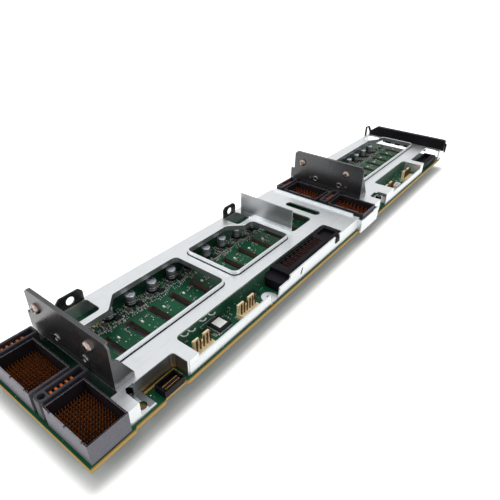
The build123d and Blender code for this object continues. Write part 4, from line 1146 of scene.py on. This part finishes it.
def printed_lines(work):
    """Outlines round the small chips, the headers and the controller, and arcs by the capacitors."""
    for middle in drive_middles():
        slot = middle + DRIVE_PITCH / 2
        for offset, y, length, width in SLOT_OUTLINES:
            frame_lines(work, slot + offset, y, length, width, FINE_PRINT_LINE)
    for x, y in can_middles():
        arc_line(work, x, y, 4.0, 120, 240, 0.2)
    for x, y in PRINTED_ARCS:
        arc_line(work, x, y, 2.0, 150, 330, 0.9)
    frame_lines(work, *CONTROLLER_OUTLINE, PRINT_LINE)
    gap = HEADER_PRINT_GAP
    for name in WAFER_HEADERS:
        x0, x1, y0, y1 = extent(name)[:4]
        frame_lines(work, x0 - gap, y0 - gap, x1 - x0 + 2 * gap, y1 - y0 + 2 * gap, PRINT_LINE)


def gold_strips(work):
    """The plated strips in the first pocket and at two more places on the board."""
    for x0, x1, y0, y1 in GOLD_STRIPS:
        board_box(work, x0, x1, y0, y1, 0.0, 0.3)


def chip_label(work):
    """A blank label on the controller chip."""
    x0, x1, y0, y1, z0, z1 = extent("controller_chip")
    inset = 1.7
    board_box(work, x0 + inset, x1 - inset, y0 + inset, y1 - inset, z1 - 0.01, z1 + 0.08, 0.05)


def pad_spots():
    """Where the test pads lie, clear of what stands on the board."""
    rng = random.Random(PAD_SEED)
    spots = list(LONE_PADS)
    for middle in drive_middles():
        spots.append((middle + DRIVE_PITCH / 2 + 6.2, 45.0, 0.0))
        spots.append((middle + rng.uniform(-5, 5), rng.uniform(43, 47), 0.0))
    boxes = standing_boxes()
    return [spot for spot in spots if not taken_up(boxes, spot[0], spot[1], CLEARANCE)]


class BACKPLANE_OT_printing(bpy.types.Operator):
    """Print plain outlines and dots on the board, and lay its gold pads and the chip's blank label"""
    bl_idname = "backplane.printing"
    bl_label = "Printing and pads"

    def execute(self, context):
        settle(object_from("printed_lines", printed_lines), "silkscreen")
        settle(object_from("gold_strips", gold_strips), "gold_plate")
        disc = [(0.0, 0.0), (0.36, 0.0), (0.36, 0.05), (0.0, 0.05)]
        dot = object_from("part", lambda work: add_lathe(work, disc, 12))
        repeated("test_pads", dot, pad_spots(), "solder")
        settle(object_from("chip_label", chip_label), "paper_label")
        return {"FINISHED"}


def floor_beyond_board(tree):
    """0 under the board, rising to 1 a little way out on the floor: the shadow stays by the edge."""
    axes = axes_of(tree)
    middle = (BOARD_LOW + BOARD_HIGH) / 2
    half = (BOARD_HIGH - BOARD_LOW) / 2
    squares = []
    for axis in (0, 1):
        off = math_node(tree, "ABSOLUTE", math_node(tree, "SUBTRACT", axes[axis], middle[axis]))
        past = math_node(tree, "MAXIMUM", math_node(tree, "SUBTRACT", off, half[axis]), 0.0)
        squares.append(product(tree, past, past))
    distance = math_node(tree, "SQRT", math_node(tree, "ADD", squares[0], squares[1]))
    return add_node(tree, "ShaderNodeMapRange", {0: distance, 1: 0.0, 2: SHADOW_REACH},
                    interpolation_type="SMOOTHSTEP").outputs[0]


def make_floor():
    """A wide pale floor that shows white away from the object and keeps its shadow."""
    def plane(work):
        corners = [(-6.0, -6.0), (9.0, -6.0), (9.0, 9.0), (-6.0, 9.0)]
        work.faces.new([work.verts.new((x, y, 0.0)) for x, y in corners])
    floor = object_from("floor", plane)
    material, tree, shader = empty_material("pale_floor")
    grain = grouped(tree, "Grain", Scale=30.0)
    colour = blended(tree, grain["Mask"], (0.86, 0.85, 0.83, 1.0), (0.87, 0.86, 0.84, 1.0))
    tree.links.new(colour, shader.inputs["Base Color"])
    spread = add_node(tree, "ShaderNodeMapRange", {0: grain["Mask"], 3: 0.8, 4: 0.9})
    tree.links.new(spread.outputs[0], shader.inputs["Roughness"])
    path = tree.nodes.new("ShaderNodeLightPath").outputs
    seen = product(tree, path["Is Camera Ray"], floor_beyond_board(tree))
    mirrored = math_node(tree, "MAXIMUM", path["Is Glossy Ray"], path["Is Transmission Ray"])
    tree.links.new(math_node(tree, "MAXIMUM", seen, mirrored), shader.inputs["Emission Strength"])
    shade(shader, Emission_Color=FLOOR_GLOW)
    floor.data.materials.append(material)


def make_world(scene):
    """Soft light from all round, white where the camera and shiny or clear surfaces see it."""
    world = bpy.data.worlds.new("studio")
    world.use_nodes = True
    tree = world.node_tree
    tree.nodes.clear()
    light = add_node(tree, "ShaderNodeBackground", {"Color": SKY_TONE, "Strength": SKY_STRENGTH})
    white = add_node(tree, "ShaderNodeBackground", {"Color": WHITE, "Strength": 1.0})
    path = tree.nodes.new("ShaderNodeLightPath").outputs
    seen = math_node(tree, "MAXIMUM", path["Is Camera Ray"], path["Is Glossy Ray"])
    seen = math_node(tree, "MAXIMUM", seen, path["Is Transmission Ray"])
    mix = add_node(tree, "ShaderNodeMixShader", {0: seen, 1: light.outputs[0], 2: white.outputs[0]})
    out = tree.nodes.new("ShaderNodeOutputWorld")
    tree.links.new(mix.outputs[0], out.inputs[0])
    scene.world = world


def add_lamp(name, spot, target, size, power, mirrored):
    """A square soft lamp that faces a point; where it isn't mirrored, metal shows the white world instead."""
    data = bpy.data.lights.new(name, "AREA")
    data.shape = "SQUARE"
    data.size = size
    data.energy = power
    lamp = linked(name, data)
    lamp.location = spot
    lamp.visible_glossy = mirrored
    lamp.rotation_euler = (Vector(target) - Vector(spot)).to_track_quat("-Z", "Y").to_euler()


def make_camera(scene):
    """The camera that sees the board as the photograph does."""
    data = bpy.data.cameras.new("photo_camera")
    data.sensor_width = CAMERA_SENSOR
    data.lens = CAMERA_LENS
    yaw, pitch, roll = (math.radians(angle) for angle in CAMERA_ANGLES)
    ahead = Vector((math.sin(yaw) * math.cos(pitch), math.cos(yaw) * math.cos(pitch), -math.sin(pitch)))
    right = Vector((math.cos(yaw), -math.sin(yaw), 0.0))
    up = right.cross(ahead)
    level = right * math.cos(roll) + up * math.sin(roll)
    upright = up * math.cos(roll) - right * math.sin(roll)
    turn = Matrix((level, upright, -ahead)).transposed()
    camera = linked("photo_camera", data)
    camera.matrix_world = Matrix.Translation(place(*CAMERA_PLACE)) @ turn.to_4x4()
    scene.camera = camera


class BACKPLANE_OT_stage(bpy.types.Operator):
    """Set the pale floor, the soft lamps and the camera"""
    bl_idname = "backplane.stage"
    bl_label = "Stage"

    def execute(self, context):
        scene = context.scene
        scene.view_settings.view_transform = "Standard"
        make_floor()
        make_world(scene)
        for name, settings in LAMPS.items():
            add_lamp(name, *settings)
        make_camera(scene)
        return {"FINISHED"}


class BACKPLANE_PT_panel(bpy.types.Panel):
    """Lists the steps and the sizes and colours that they use"""
    bl_idname = "BACKPLANE_PT_panel"
    bl_label = "Backplane"
    bl_space_type = "VIEW_3D"
    bl_region_type = "UI"
    bl_category = "Backplane"

    def draw(self, context):
        for group in (context.scene.backplane_sizes, context.scene.backplane_colours):
            box = self.layout.box()
            for key in group.__annotations__:
                box.prop(group, key)
        for step in STEPS:
            self.layout.operator(step.bl_idname)


STEPS = (BACKPLANE_OT_finishes, BACKPLANE_OT_moulded_parts, BACKPLANE_OT_header_pins,
         BACKPLANE_OT_bracket_fasteners, BACKPLANE_OT_power_blades, BACKPLANE_OT_rim_bends,
         BACKPLANE_OT_capacitors, BACKPLANE_OT_small_parts, BACKPLANE_OT_chip_leads, BACKPLANE_OT_printing,
         BACKPLANE_OT_stage)
CLASSES = (BackplaneSizes, BackplaneColours) + STEPS + (BACKPLANE_PT_panel,)


def register():
    for item in CLASSES:
        bpy.utils.register_class(item)
    bpy.types.Scene.backplane_sizes = bpy.props.PointerProperty(type=BackplaneSizes)
    bpy.types.Scene.backplane_colours = bpy.props.PointerProperty(type=BackplaneColours)


def unregister():
    del bpy.types.Scene.backplane_colours
    del bpy.types.Scene.backplane_sizes
    for item in reversed(CLASSES):
        bpy.utils.unregister_class(item)


def main():
    register()
    bpy.ops.backplane.finishes()
    bpy.ops.backplane.moulded_parts()
    bpy.ops.backplane.header_pins()
    bpy.ops.backplane.bracket_fasteners()
    bpy.ops.backplane.power_blades()
    bpy.ops.backplane.rim_bends()
    bpy.ops.backplane.capacitors()
    bpy.ops.backplane.small_parts()
    bpy.ops.backplane.chip_leads()
    bpy.ops.backplane.printing()
    bpy.ops.backplane.stage()


if __name__ == "__main__":
    main()
